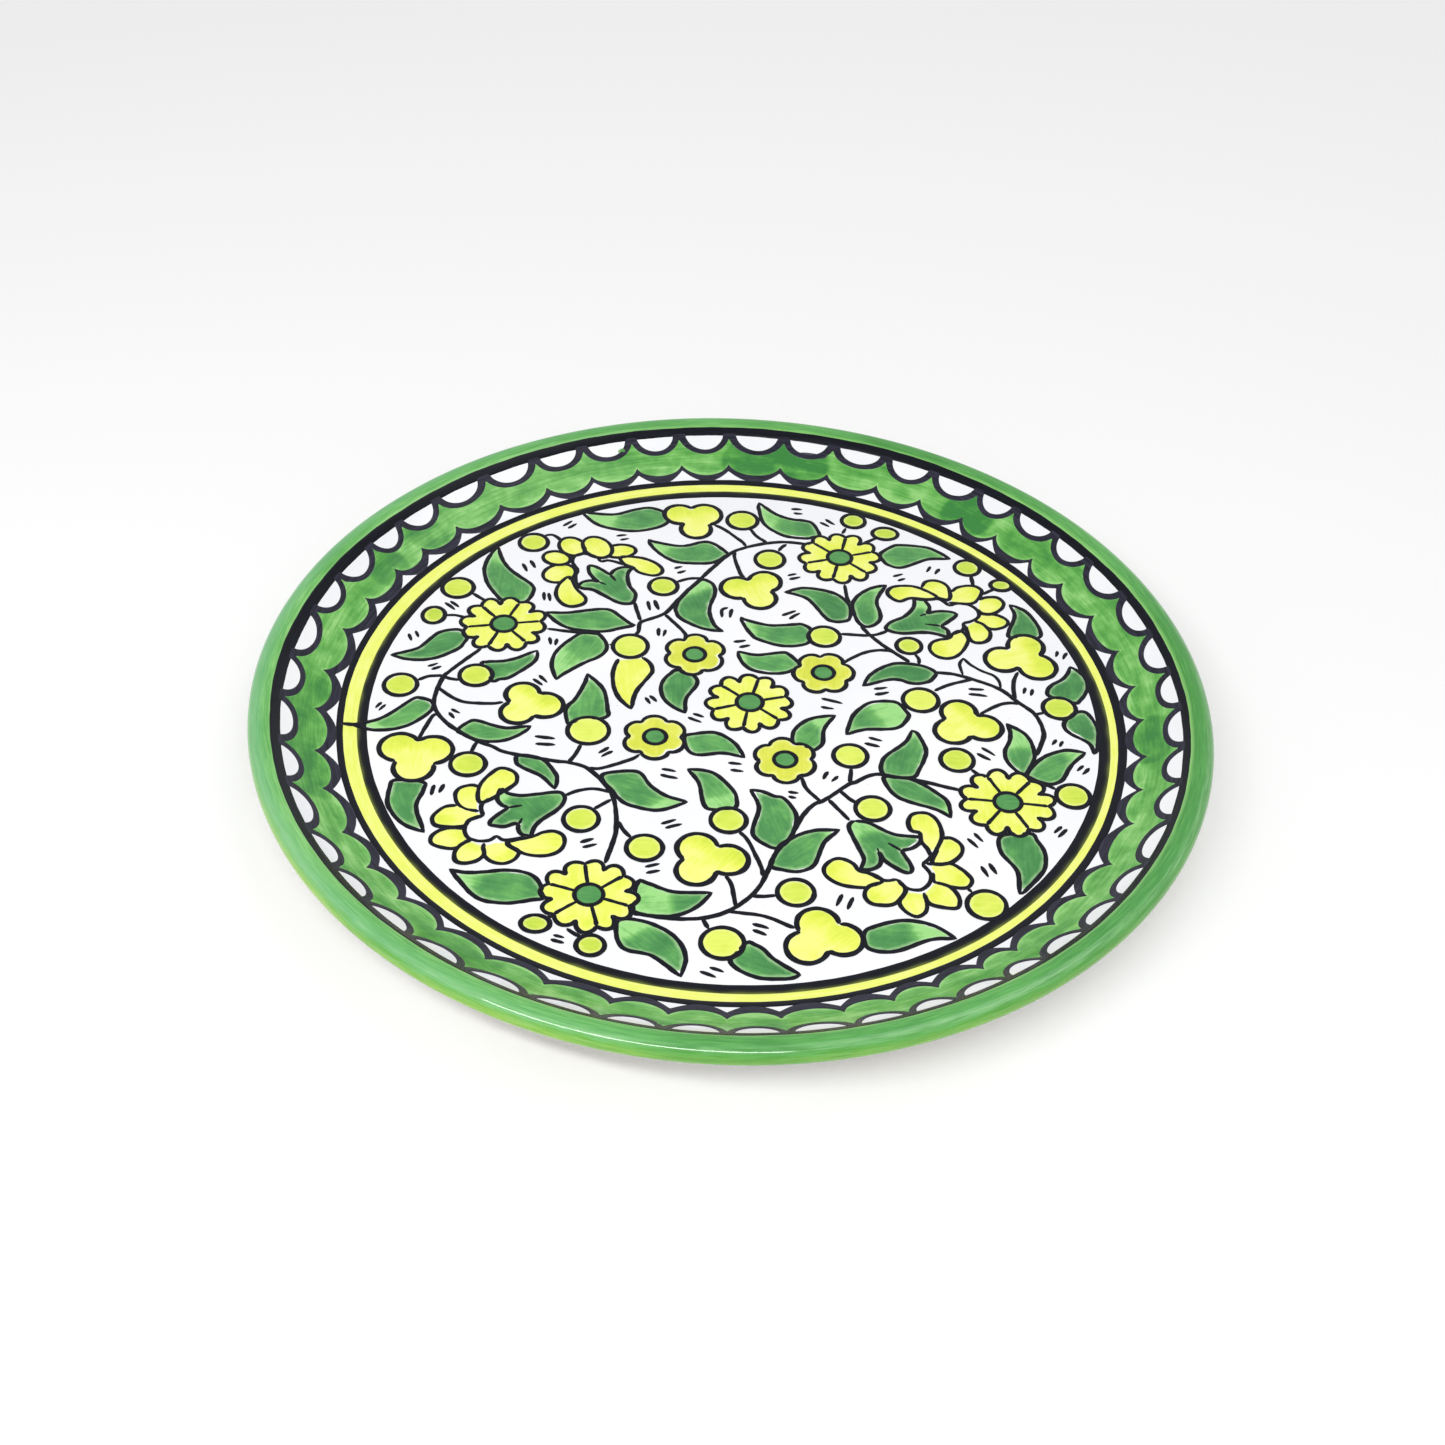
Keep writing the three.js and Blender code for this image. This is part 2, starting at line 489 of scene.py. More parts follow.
def soft_step(value, edge, width):
    """Goes from 0 to 1 as value passes edge, over about width."""
    return 1 / (1 + np.exp(np.minimum(-(value - edge) / width * 4, LARGEST_POWER)))


def ellipse(x, y, rx, ry, lean=0.0):
    """A closed oval about a design point, leaning by some degrees."""
    count = max(18, round(math.pi * (rx + ry) / STEP))
    turn = np.linspace(0, 2 * math.pi, count + 1)
    lean = math.radians(lean)
    u, v = rx * np.cos(turn), ry * np.sin(turn)
    xy = np.stack([u * math.cos(lean) - v * math.sin(lean), u * math.sin(lean) + v * math.cos(lean)], -1)
    return xy + np.array([x, y])


# ---------------------------------------------------------------------------
# Materials
# ---------------------------------------------------------------------------


def colour(red, green, blue):
    """An sRGB colour from 0 to 255 as a linear one."""
    shares = (n / 255 for n in (red, green, blue))
    linear = [n / 12.92 if n < 0.04045 else ((n + 0.055) / 1.055) ** 2.4 for n in shares]
    return (*linear, 1.0)


# The Mix node's sockets for colours, which share their names with others
MIX_FIRST, MIX_SECOND, MIX_RESULT = 6, 7, 2


class Paint:
    """A material whose nodes are added one call at a time."""

    def __init__(self, name, roughness=0.14, ior=1.5):
        self.material = bpy.data.materials.new(name)
        self.material.use_nodes = True
        self.tree = self.material.node_tree
        self.shader = self.tree.nodes["Principled BSDF"]
        self.shader.inputs["Roughness"].default_value = roughness
        self.shader.inputs["IOR"].default_value = ior

    def node(self, kind, inputs=(), **settings):
        made = self.tree.nodes.new("ShaderNode" + kind)
        for key, value in settings.items():
            setattr(made, key, value)
        for key, value in dict(inputs).items():
            self.put(value, made.inputs[key])
        return made

    def put(self, value, socket):
        if isinstance(value, bpy.types.NodeSocket):
            self.tree.links.new(value, socket)
        else:
            socket.default_value = value

    def brush(self):
        return self.node("Attribute", attribute_name="flow").outputs["Vector"]

    def attribute(self, name):
        return self.node("Attribute", attribute_name=name).outputs["Fac"]

    def place(self):
        return self.node("TexCoord").outputs["Object"]

    def noise(self, vector, scale, detail=3.0, roughness=0.55):
        inputs = {"Vector": vector, "Scale": scale, "Detail": detail, "Roughness": roughness}
        return self.node("TexNoise", inputs).outputs["Fac"]

    def sum(self, first, second, operation="ADD"):
        return self.node("Math", {0: first, 1: second}, operation=operation).outputs[0]

    def scaled(self, value, low, high, to_low=0.0, to_high=1.0):
        inputs = {"Value": value, "From Min": low, "From Max": high, "To Min": to_low, "To Max": to_high}
        return self.node("MapRange", inputs).outputs["Result"]

    def mix(self, share, first, second):
        made = self.node("Mix", {"Factor": share}, data_type="RGBA")
        self.put(first, made.inputs[MIX_FIRST])
        self.put(second, made.inputs[MIX_SECOND])
        return made.outputs[MIX_RESULT]

    def ramp(self, value, stops):
        made = self.node("ValToRGB", {"Fac": value})
        elements = made.color_ramp.elements
        while len(elements) < len(stops):
            elements.new(0.5)
        for element, (position, tint) in zip(elements, stops):
            element.position = position
            element.color = tint
        return made.outputs["Color"]

    def finish(self, tint, roughness=None, bump=None, strength=0.25, distance=0.05 * MM):
        self.put(tint, self.shader.inputs["Base Color"])
        if roughness is not None:
            self.put(roughness, self.shader.inputs["Roughness"])
        if bump is not None:
            made = self.node("Bump", {"Strength": strength, "Distance": distance, "Height": bump})
            self.put(made.outputs["Normal"], self.shader.inputs["Normal"])
        return self.material


GLAZE_WHITE = colour(250, 250, 253)
LINE_GREY = colour(70, 78, 80)
OLIVE = colour(124, 134, 62)


def white_glaze_material():
    """Clear glaze on white slip: clean, with faint cool pools and pinholes."""
    paint = Paint("white_glaze")
    pools = paint.noise(paint.place(), scale=22.0, detail=4.0)
    tint = paint.ramp(pools, [(0.35, colour(244, 245, 250)), (0.62, GLAZE_WHITE)])
    pinholes = paint.scaled(paint.noise(paint.place(), scale=900.0, detail=1.0), 0.77, 0.8)
    tint = paint.mix(pinholes, tint, colour(214, 212, 205))
    swell = paint.noise(paint.place(), scale=55.0, detail=2.0)
    waves = paint.sum(swell, paint.noise(paint.place(), scale=380.0, detail=2.0))
    rough = paint.scaled(pools, 0.3, 0.7, 0.1, 0.17)
    return paint.finish(tint, rough, waves, 0.12, 0.12 * MM)


def back_glaze_material():
    """Thinner glaze over the back: warmer, with iron specks from the clay."""
    paint = Paint("back_glaze")
    cloud = paint.noise(paint.place(), scale=16.0, detail=5.0)
    tint = paint.ramp(cloud, [(0.3, colour(232, 229, 220)), (0.65, colour(247, 246, 242))])
    specks = paint.scaled(paint.noise(paint.place(), scale=620.0, detail=2.0), 0.7, 0.76)
    tint = paint.mix(specks, tint, colour(171, 143, 112))
    rings = paint.noise(paint.brush(), 1.0, 3.0)
    rough = paint.scaled(cloud, 0.3, 0.7, 0.16, 0.28)
    return paint.finish(tint, rough, rings, 0.3, 0.12 * MM)


def clay_material():
    """Fired earthenware, wiped bare: warm, matt and grainy."""
    paint = Paint("bare_clay", 0.85)
    grain = paint.noise(paint.place(), scale=1400.0, detail=4.0, roughness=0.7)
    cloud = paint.noise(paint.place(), scale=40.0, detail=4.0)
    mixed = paint.sum(paint.scaled(grain, 0, 1, 0, 0.5), paint.scaled(cloud, 0, 1, 0, 0.5))
    tint = paint.ramp(mixed, [(0.35, colour(188, 143, 108)), (0.65, colour(224, 187, 150))])
    rough = paint.scaled(grain, 0.3, 0.7, 0.72, 0.95)
    return paint.finish(tint, rough, grain, 0.5, 0.1 * MM)


def colour_paint_material(name, stops, pale, halo=0.7, streaks=0.3, clouds=0.24):
    """Brushed colour under clear glaze. It follows tone, with streaks along the
    brush, thins to pale near its edge and stops short of the line in places."""
    paint = Paint(name)
    brush = paint.brush()
    streak = paint.scaled(paint.noise(brush, 1.0, 4.0, 0.6), 0.2, 0.8, -streaks, streaks)
    cloud = paint.scaled(paint.noise(paint.place(), scale=160.0, detail=3.0), 0.25, 0.75, -clouds, clouds)
    depth = paint.sum(paint.attribute("tone"), paint.sum(streak, cloud))
    tint = paint.ramp(depth, stops)
    edge = paint.attribute("edge")
    ragged = paint.scaled(paint.noise(paint.place(), scale=330.0, detail=3.0), 0.3, 0.7, -0.35, 0.35)
    thin = paint.scaled(paint.sum(edge, ragged), halo, halo + 0.9, 0.5, 0.0)
    tint = paint.mix(thin, tint, pale)
    patches = paint.noise(paint.place(), scale=85.0, detail=2.0)
    gap = paint.scaled(patches, 0.35, 0.75, halo - 0.8, halo + 0.35)
    past_gap = paint.sum(paint.sum(edge, gap, "SUBTRACT"), paint.sum(ragged, 0.3, "MULTIPLY"))
    bare = paint.scaled(past_gap, -0.1, 0.14, 1.0, 0.0)
    tint = paint.mix(bare, tint, GLAZE_WHITE)
    rough = paint.scaled(depth, 0.0, 1.0, 0.12, 0.2)
    relief = paint.noise(brush, 1.6, 3.0, 0.6)
    return paint.finish(tint, rough, relief, 0.22, 0.07 * MM)


def line_material(name, soft_edge=0.05, smudge=LINE_GREY, dark=(2, 4, 14), light=(12, 17, 32)):
    """Black outline paint, a little thin and grey towards its edges, and olive
    where tone says that it is drawn into the yellow."""
    paint = Paint(name, 0.2)
    paint.shader.inputs["Specular IOR Level"].default_value = 0.2
    streak = paint.noise(paint.brush(), 1.0, 4.0, 0.65)
    tint = paint.ramp(streak, [(0.35, colour(*dark)), (0.72, colour(*light))])
    ragged = paint.scaled(paint.noise(paint.place(), scale=700.0, detail=3.0), 0.3, 0.7, -0.05, 0.05)
    faded = paint.scaled(paint.sum(paint.attribute("edge"), ragged), 0.0, soft_edge, 0.6, 0.0)
    tint = paint.mix(paint.attribute("tone"), paint.mix(faded, tint, smudge), OLIVE)
    rough = paint.scaled(streak, 0.3, 0.7, 0.16, 0.3)
    return paint.finish(tint, rough, streak, 0.35, 0.08 * MM)


def lip_material():
    """Green brushed round the lip: streaky, pale by the black line, paler over the
    crown with a painted highlight, lighter on the left and darker on the right as
    painted light and shade, cooler outside on the left as a painted reflection,
    and yellower where it runs down on the near side."""
    paint = Paint("green_lip", ior=1.65)
    fine = paint.scaled(paint.noise(paint.brush(), 1.3, 5.0, 0.6), 0.25, 0.75, -0.26, 0.26)
    cloud = paint.scaled(paint.noise(paint.place(), scale=26.0, detail=3.0), 0.3, 0.7, -0.16, 0.16)
    spot = paint.node("SeparateXYZ", {"Vector": paint.place()}).outputs
    reach = PLATE_RADIUS * MM
    along = paint.attribute("tone")

    def streaked(blur):
        """The place from shoulder to underside, blurred by the brush streaks."""
        return paint.sum(along, paint.scaled(fine, -0.3, 0.3, -blur, blur))

    # Deeper from left to right across the plate: painted light on the left side of the lip and painted shade
    # on the right.
    depth = paint.sum(paint.sum(fine, cloud), paint.scaled(spot["X"], -reach, reach, 0.42, 0.76))
    green = [(0.12, colour(142, 210, 122)), (0.5, colour(94, 176, 82)), (0.85, colour(58, 144, 50))]
    tint = paint.ramp(depth, green)
    by_line = paint.scaled(streaked(0.02), 0.02, 0.12, 0.8, 0.0)
    tint = paint.mix(by_line, tint, colour(150, 214, 118))
    # Paler over the crown: a painted highlight along it, where the paint also runs thin.
    from_crown = paint.sum(paint.sum(along, 0.46, "SUBTRACT"), 0, "ABSOLUTE")
    crown = paint.scaled(from_crown, 0.02, 0.1, 0.45, 0.0)
    thin = paint.sum(crown, paint.scaled(paint.sum(cloud, fine), -0.3, 0.25, 1.0, 0.1), "MULTIPLY")
    tint = paint.mix(thin, tint, colour(176, 222, 166))
    # A cooler green on the outside of the lip's left side: a painted reflection.
    outside = paint.scaled(streaked(0.05), 0.16, 0.36, 0.0, 0.6)
    left = paint.scaled(spot["X"], -reach, 0.0, 1.0, 0.15)
    tint = paint.mix(paint.sum(outside, left, "MULTIPLY"), tint, colour(112, 182, 128))
    near = paint.scaled(spot["Y"], -0.7 * reach, 0.0, 1.0, 0.1)
    run = paint.sum(paint.scaled(streaked(0.14), 0.5, 0.7), near, "MULTIPLY")
    yellow = [(0.2, colour(176, 214, 70)), (0.55, colour(116, 182, 50)), (0.85, colour(78, 154, 40))]
    tint = paint.mix(run, tint, paint.ramp(depth, yellow))
    rough = paint.scaled(depth, 0.0, 1.0, 0.05, 0.1)
    return paint.finish(tint, rough, paint.noise(paint.brush(), 1.6, 3.0), 0.1, 0.08 * MM)


LEAF_STOPS = [(0.05, colour(158, 222, 132)), (0.35, colour(110, 184, 94)),
              (0.7, colour(76, 150, 78)), (1.0, colour(54, 128, 64))]
YELLOW_STOPS = [(0.1, colour(247, 251, 136)), (0.4, colour(236, 245, 92)),
                (0.75, colour(216, 234, 66)), (1.0, colour(190, 218, 58))]
RING_STOPS = [(0.1, colour(249, 252, 150)), (0.5, colour(240, 248, 112)), (1.0, colour(222, 236, 84))]
BERRY_STOPS = [(0.1, colour(230, 244, 104)), (0.45, colour(212, 232, 76)), (0.9, colour(184, 214, 60))]
FLOWER_STOPS = [(0.1, colour(240, 243, 112)), (0.5, colour(222, 228, 72)), (0.95, colour(196, 208, 54))]
WAVE_STOPS = [(0.05, colour(150, 212, 122)), (0.35, colour(112, 186, 88)),
              (0.65, colour(82, 162, 64)), (1.0, colour(48, 132, 52))]
DISC_STOPS = [(0.3, colour(96, 168, 90)), (0.9, colour(68, 142, 72))]
PALE_GREEN = colour(186, 228, 168)
PALE_YELLOW = colour(252, 254, 160)

leaf_green = colour_paint_material("leaf_green", LEAF_STOPS, PALE_GREEN, streaks=0.2, clouds=0.26)
petal_yellow = colour_paint_material("petal_yellow", YELLOW_STOPS, PALE_YELLOW, 0.45, 0.2, 0.22)
berry_yellow = colour_paint_material("berry_yellow", BERRY_STOPS, PALE_YELLOW, streaks=0.2, clouds=0.2)
flower_yellow = colour_paint_material("flower_yellow", FLOWER_STOPS, PALE_YELLOW, streaks=0.2, clouds=0.16)
wave_green = colour_paint_material("wave_green", WAVE_STOPS, PALE_GREEN, halo=-0.35, streaks=0.3, clouds=0.3)
disc_green = colour_paint_material("disc_green", DISC_STOPS, PALE_GREEN, halo=-0.6, clouds=0.2)
outline_black = line_material("outline_black")

# ---------------------------------------------------------------------------
# The turned dish
# ---------------------------------------------------------------------------


def bead_point(degrees):
    turn = math.radians(degrees)
    return (PLATE_RADIUS - LIP_BEAD + LIP_BEAD * math.cos(turn),
            CROWN_HEIGHT - LIP_BEAD + LIP_BEAD * math.sin(turn))


def face_profile(start, end, count):
    radii = np.linspace(start, end, count)
    return list(zip(radii, face_height(radii)))


def lip_profile():
    """From the shoulder, over the crown on a smooth curve, round the bead."""
    crown = bead_point(90)
    run = crown[0] - SHOULDER_RADIUS
    slope = 2 * (SHOULDER_HEIGHT - WELL_HEIGHT) / (SHOULDER_RADIUS - WELL_RADIUS)
    shares = np.linspace(0, 1, CROWN_STEPS)[:-1]
    rise = (shares - 2 * shares**2 + shares**3) * slope * run
    rise += (3 * shares**2 - 2 * shares**3) * (crown[1] - SHOULDER_HEIGHT)
    climb = list(zip(SHOULDER_RADIUS + shares * run, SHOULDER_HEIGHT + rise))
    return climb + [bead_point(angle) for angle in np.linspace(90, LIP_END_ANGLE, CURVE_STEPS)]


def back_profile():
    """From under the lip down to the foot ring's outer glaze edge."""
    lip_end = bead_point(LIP_END_ANGLE)
    shares = np.linspace(1, 0, CURVE_STEPS)
    radii = BACK_FLAT_RADIUS + shares * (lip_end[0] - BACK_FLAT_RADIUS)
    heights = RECESS_HEIGHT + shares**BACK_POWER * (lip_end[1] - RECESS_HEIGHT)
    return list(zip(radii, heights)) + [(94.0, RECESS_HEIGHT)] + FOOT_OUTER


def recess_profile():
    middle = [(radius, RECESS_HEIGHT) for radius in np.linspace(70, 0, RECESS_STEPS)]
    return FOOT_INNER + middle


def clay_profile():
    """The whole body, a glaze thickness inside its coats and bare at the foot."""
    face = face_profile(0, SHOULDER_RADIUS, CLAY_FACE_STEPS)
    outside = face + lip_profile()[1:] + back_profile()[1:]
    under = FOOT_INNER[1:] + [(40.0, RECESS_HEIGHT), (0.0, RECESS_HEIGHT)]
    return inset(outside[:-1]) + [FOOT_OUTER[-1]] + FOOT_BEARING + [FOOT_INNER[0]] + inset(under)


def inset(profile):
    """The profile moved into the clay by the thickness of the glaze."""
    line = np.array(profile, float)
    along = np.gradient(line, axis=0)
    along /= np.hypot(*along.T)[:, None]
    moved = line + GLAZE_THICKNESS * np.stack([along[:, 1], -along[:, 0]], -1)
    moved[:, 0] = np.where(line[:, 0] == 0, 0, moved[:, 0])
    return [tuple(point) for point in moved]


# How far the well's and the border's coats run on under the painted rings
COAT_OVERLAP = 1


def make_dish():
    white = white_glaze_material()
    back = back_glaze_material()
    well = face_profile(0, WELL_RADIUS + COAT_OVERLAP, WELL_STEPS)
    border = face_profile(BORDER_INNER_RADIUS - COAT_OVERLAP, BORDER_OUTER_RADIUS + COAT_OVERLAP,
                          BORDER_STEPS)
    turned("clay_dish", clay_profile(), clay_material(), "bare_clay", "clay_body")
    turned("well_slip_glaze", well, white, WHITE_SLOT, "well_glaze")
    turned("border_slip_glaze", border, white, WHITE_SLOT, "border_glaze")
    turned("lip_coat", lip_profile(), lip_material(), GREEN_SLOT, "green_lip_glaze")
    turned("back_coat", back_profile(), back, WHITE_SLOT, "back_glaze")
    turned("recess_coat", recess_profile(), back, WHITE_SLOT, "foot_recess_glaze")


# ---------------------------------------------------------------------------
# Painted rings
# ---------------------------------------------------------------------------


EDGE_WAVER = 0.12


def hand_edge(angles, radius, seed, size):
    """A painted circle's edge, which wavers about its radius."""
    chance = random.Random(seed)
    waves = ((3, 0.5), (7, 0.4), (16, 0.3), (41, 0.22), (97, 0.16))
    return radius + size * sum(a * np.sin(n * angles + chance.uniform(0, PHASE_RANGE)) for n, a in waves)


def olive_smear(degrees, radius, depth):
    """How far the brush has drawn the wet black into the yellow beside it."""
    turn = np.radians(degrees)
    reach = YELLOW_INNER_RADIUS - 0.6 + 0.8 * np.cos(turn)
    return 0.75 * soft_step(radius, reach + 0.15 * np.sin(turn * 47) + 0.1 * np.sin(turn * 83), 0.8)


def make_ring(name, node, radii, shifts, material, slot, seed, height, tone=even_tone(0.0)):
    """A painted ring between two circles, each some mm to the right of the axis."""
    angles = round_angles(RING_STEPS)
    inner, outer = (hand_edge(angles, radius, seed + k, EDGE_WAVER) + shift * np.cos(angles)
                    for k, (radius, shift) in enumerate(zip(radii, shifts)))
    coat = Coat()
    band(coat, angles, inner, outer, height, RING_ROWS, tone, seed)
    coat.make(name, material, slot, node)


def make_rings():
    ring_black = line_material("ring_black", 0.2, colour(70, 78, 60))
    outer_black = line_material("outer_black", 0.3, colour(40, 62, 50))
    ring_yellow = colour_paint_material("ring_yellow", RING_STOPS, PALE_YELLOW, halo=-0.2,
                                        streaks=0.4, clouds=0.15)
    make_ring("yellow_line", "yellow_ring", (YELLOW_INNER_RADIUS - 0.6, YELLOW_OUTER_RADIUS + 0.2),
              (1.0, 0.0), ring_yellow, YELLOW_SLOT, 11, 0.06, even_tone(0.42))
    make_ring("inner_black_line", "inner_black_ring", (WELL_RADIUS - 0.3, YELLOW_INNER_RADIUS - 0.05),
              (0.6, 0.8), ring_black, BLACK_SLOT, 21, 0.12, olive_smear)
    make_ring("middle_black_line", "middle_black_ring",
              (YELLOW_OUTER_RADIUS - 0.45, BORDER_INNER_RADIUS + 0.2),
              (-0.1, 0.2), ring_black, BLACK_SLOT, 31, 0.14)
    make_ring("outer_black_line", "outer_black_ring", (BORDER_OUTER_RADIUS - 0.65, SHOULDER_RADIUS + 0.4),
              (0.1, -0.15), outer_black, BLACK_SLOT, 41, 0.14)


# ---------------------------------------------------------------------------
# Scalloped border
# ---------------------------------------------------------------------------

# Where neighbouring scallops meet, in degrees round the plate
CUSPS = np.array([
    0.25, 7.3, 15.2, 23.6, 32.0, 39.1, 46.7, 53.2, 60.9, 68.4, 76.6, 84.1, 92.4, 99.9, 107.1, 114.6,
    122.2, 130.6, 139.2, 146.5, 152.8, 160.7, 168.2, 177.5, 185.6, 194.2, 201.8, 210.7, 218.0, 224.9,
    232.3, 240.2, 248.5, 257.0, 264.1, 271.1, 277.6, 285.2, 291.6, 297.5, 304.1, 309.5, 316.4, 323.2,
    330.2, 338.8, 345.8, 352.6,
])
MOON_LOW_RADIUS = 122.6
MOON_SHARE = 0.77
TIP_RADIUS = 125.4
LINE_LOW_RADIUS = 121.1
BULGE_RADIUS = 114.1
NOTCH_RADIUS = 118.1
TRIANGLE_RADIUS = 115.0
TRIANGLE_POWER = 1.9

# The least width of the outer and inner black lines
OUTER_LINE_LEAST = 1.15
INNER_LINE_LEAST = 1.3

# How far each part of the border varies from one scallop to the next
LEAN_VARIES = 0.06
MOON_VARIES = 0.35
BULGE_VARIES = 0.4
TIP_VARIES = 0.45

# How far the border's colours run under its lines, and the lines on beside them
WAVE_UNDER = 0.5
LINE_UNDER = 0.05

# Dark overlaps of the green wave: first and last degree, and added thickness
OVERLAPS = [(351.0, 360.5, 0.42), (48.5, 57.0, 0.6), (76.5, 93.5, 0.6), (150.0, 156.8, 0.45),
            (179.0, 204.0, 0.34), (36.0, 45.5, 0.25), (14.0, 25.6, 0.14), (103.5, 112.0, 0.15),
            (141.0, 147.0, 0.25), (308.0, 316.0, 0.2), (231.0, 243.0, 0.2)]


def scallop_shape(angles):
    """For each angle: the scallop's number, and -1 to 1 across it."""
    degrees = np.degrees(angles) % 360
    number = (np.searchsorted(CUSPS, degrees, side="right") - 1) % len(CUSPS)
    start = CUSPS[number]
    span = (np.roll(CUSPS, -1)[number] - start) % 360
    return number, 2 * ((degrees - start) % 360) / span - 1


def vary(number, seed, size):
    """One seeded value for each scallop, looked up by its number."""
    chance = random.Random(seed)
    values = np.array([chance.uniform(-size, size) for _ in CUSPS])
    return values[number]


def bowl(share):
    """0 in the middle and 1 at the ends, round as a circle's lower half."""
    return 1 - np.sqrt(np.clip(1 - share**2, 0, 1))


CUSP_SHARE = 0.97


def cusp_bowl(share):
    return bowl(CUSP_SHARE * share) / bowl(CUSP_SHARE)


def scallop_edges():
    """Angles round the plate, and the radii there of the white half moons, the
    green wave's two edges and the inner black line's lower edge."""
    angles = round_angles(SCALLOP_STEPS)
    number, share = scallop_shape(angles)
    jitter = hand_edge(angles, 0, 51, EDGE_WAVER)
    middle = 1 - share**2
    tilted = share + vary(number, 61, LEAN_VARIES) * middle
    moon = MOON_LOW_RADIUS + vary(number, 62, MOON_VARIES) * middle
    reach = np.clip(tilted / MOON_SHARE, -1, 1)
    top = BORDER_OUTER_RADIUS + 0.5
    white_edge = np.where(abs(tilted) < MOON_SHARE, moon + (top - moon) * bowl(reach), top) + jitter
    low = LINE_LOW_RADIUS + vary(number, 62, MOON_VARIES) * middle
    green_outer = low + (TIP_RADIUS - low) * cusp_bowl(tilted) + jitter
    green_outer = np.minimum(green_outer, white_edge - OUTER_LINE_LEAST)
    deep = BULGE_RADIUS + vary(number, 63, BULGE_VARIES) * middle
    green_inner = deep + (NOTCH_RADIUS - deep) * cusp_bowl(tilted) * 0.97 - jitter
    foot = BORDER_INNER_RADIUS - 0.6
    open_side = np.cos(angles) + 1.5 * np.sin(angles)
    nearest = (number + (share > 0)) % len(CUSPS)
    tip = TRIANGLE_RADIUS + 0.3 * open_side + vary(nearest, 64, TIP_VARIES)
    black_inner = foot + (tip - foot) * abs(tilted) ** TRIANGLE_POWER + jitter
    black_inner = np.minimum(black_inner, green_inner - INNER_LINE_LEAST + 0.2 * open_side)
    return angles, white_edge, green_outer, green_inner, black_inner


def overlap_tone(degrees, radius, depth):
    """How thick the green is: dabs overlap, with round ends to the strokes."""
    turn = np.radians(degrees)
    tone = 0.42 + 0.09 * np.sin(turn * 9 + radius * 0.7) + 0.08 * np.sin(turn * 31 - radius * 1.3)
    tone = tone - 0.3 * soft_step(1.3 - depth, 0, 0.7)
    for first, last, added in OVERLAPS:
        middle, half = (first + last) / 2, (last - first) / 2
        away = abs((degrees - middle + 180) % 360 - 180)
        bend = 0.05 * (radius - 118.5) ** 2
        tone = tone + added * soft_step(half - bend - away, 0, 0.6)
    slit = soft_step(1.0 - abs(radius - 117.4 - 0.1 * (degrees - 82)), 0, 0.5)
    slit = slit * soft_step(2.6 - abs(degrees - 82.5), 0, 0.5)
    return tone - 0.35 * slit


# Slips of the brush over the border: degree, radius, half length, half width
GREEN_SLIPS = [(108.5, 123.7, 1.9, 0.8), (218.2, 124.0, 1.5, 0.7), (256.9, 123.4, 1.3, 0.9),
               (263.8, 123.6, 1.5, 1.0), (311.6, 121.2, 2.2, 0.5), (31.2, 122.4, 1.6, 0.5),
               (358.4, 104.3, 1.7, 0.8)]
BLACK_SLIPS = [(79.3, 122.8, 5.0, 0.65), (152.6, 124.6, 0.7, 0.9), (160.3, 124.5, 0.6, 0.8)]


def slip_loop(degrees, radius, length, width):
    """An oval blot that lies along the border."""
    turn = math.radians(degrees)
    return ellipse(radius * math.cos(turn), radius * math.sin(turn), length, width, degrees + 90)


def paint_slips(coat, slips, tone, first_seed):
    for seed, slip in enumerate(slips, first_seed):
        loop = slip_loop(*slip)
        fill(coat, loop, (loop[0], loop.mean(0)), even_tone(tone), seed, UPPER_LAYER)


def scallop_line(inner, outer, seed):
    """A black line along scallops, drawn a little over the paint on each side."""
    coat = Coat()
    band(coat, round_angles(SCALLOP_STEPS), inner - LINE_UNDER, outer + LINE_UNDER, 0.13, RING_ROWS,
         even_tone(0.0), seed, SCALLOP_ROUNDING)
    return coat


def make_border():
    angles, white_edge, green_outer, green_inner, black_inner = scallop_edges()
    scallop_black = line_material("scallop_black", 0.3, colour(84, 88, 96), (24, 25, 36), (56, 55, 74))
    wave = Coat()
    band(wave, angles, green_inner - WAVE_UNDER, green_outer + WAVE_UNDER, 0.07, WAVE_ROWS, overlap_tone, 3.0)
    paint_slips(wave, GREEN_SLIPS, 0.75, GREEN_SLIP_SEED)
    wave.make("green_wave", wave_green, GREEN_SLOT)
    outer = scallop_line(green_outer, white_edge, 5.0)
    paint_slips(outer, BLACK_SLIPS, 0.0, BLACK_SLIP_SEED)
    outer.make("outer_scallop_line", scallop_black, BLACK_SLOT)
    inner = scallop_line(black_inner, green_inner, 7.0)
    inner.make("inner_scallop_line", scallop_black, BLACK_SLOT)


def make_motif(draw, name, fill_name, material, slot):
    """Draws one kind of motif: its colour fills, and the black lines on them."""
    paint = Coat()
    lines = Coat()
    draw(paint, lines)
    paint.make(name + fill_name, material, slot)
    lines.make(name + "_outlines", outline_black, BLACK_SLOT)


# ---------------------------------------------------------------------------
# Leaves
# ---------------------------------------------------------------------------

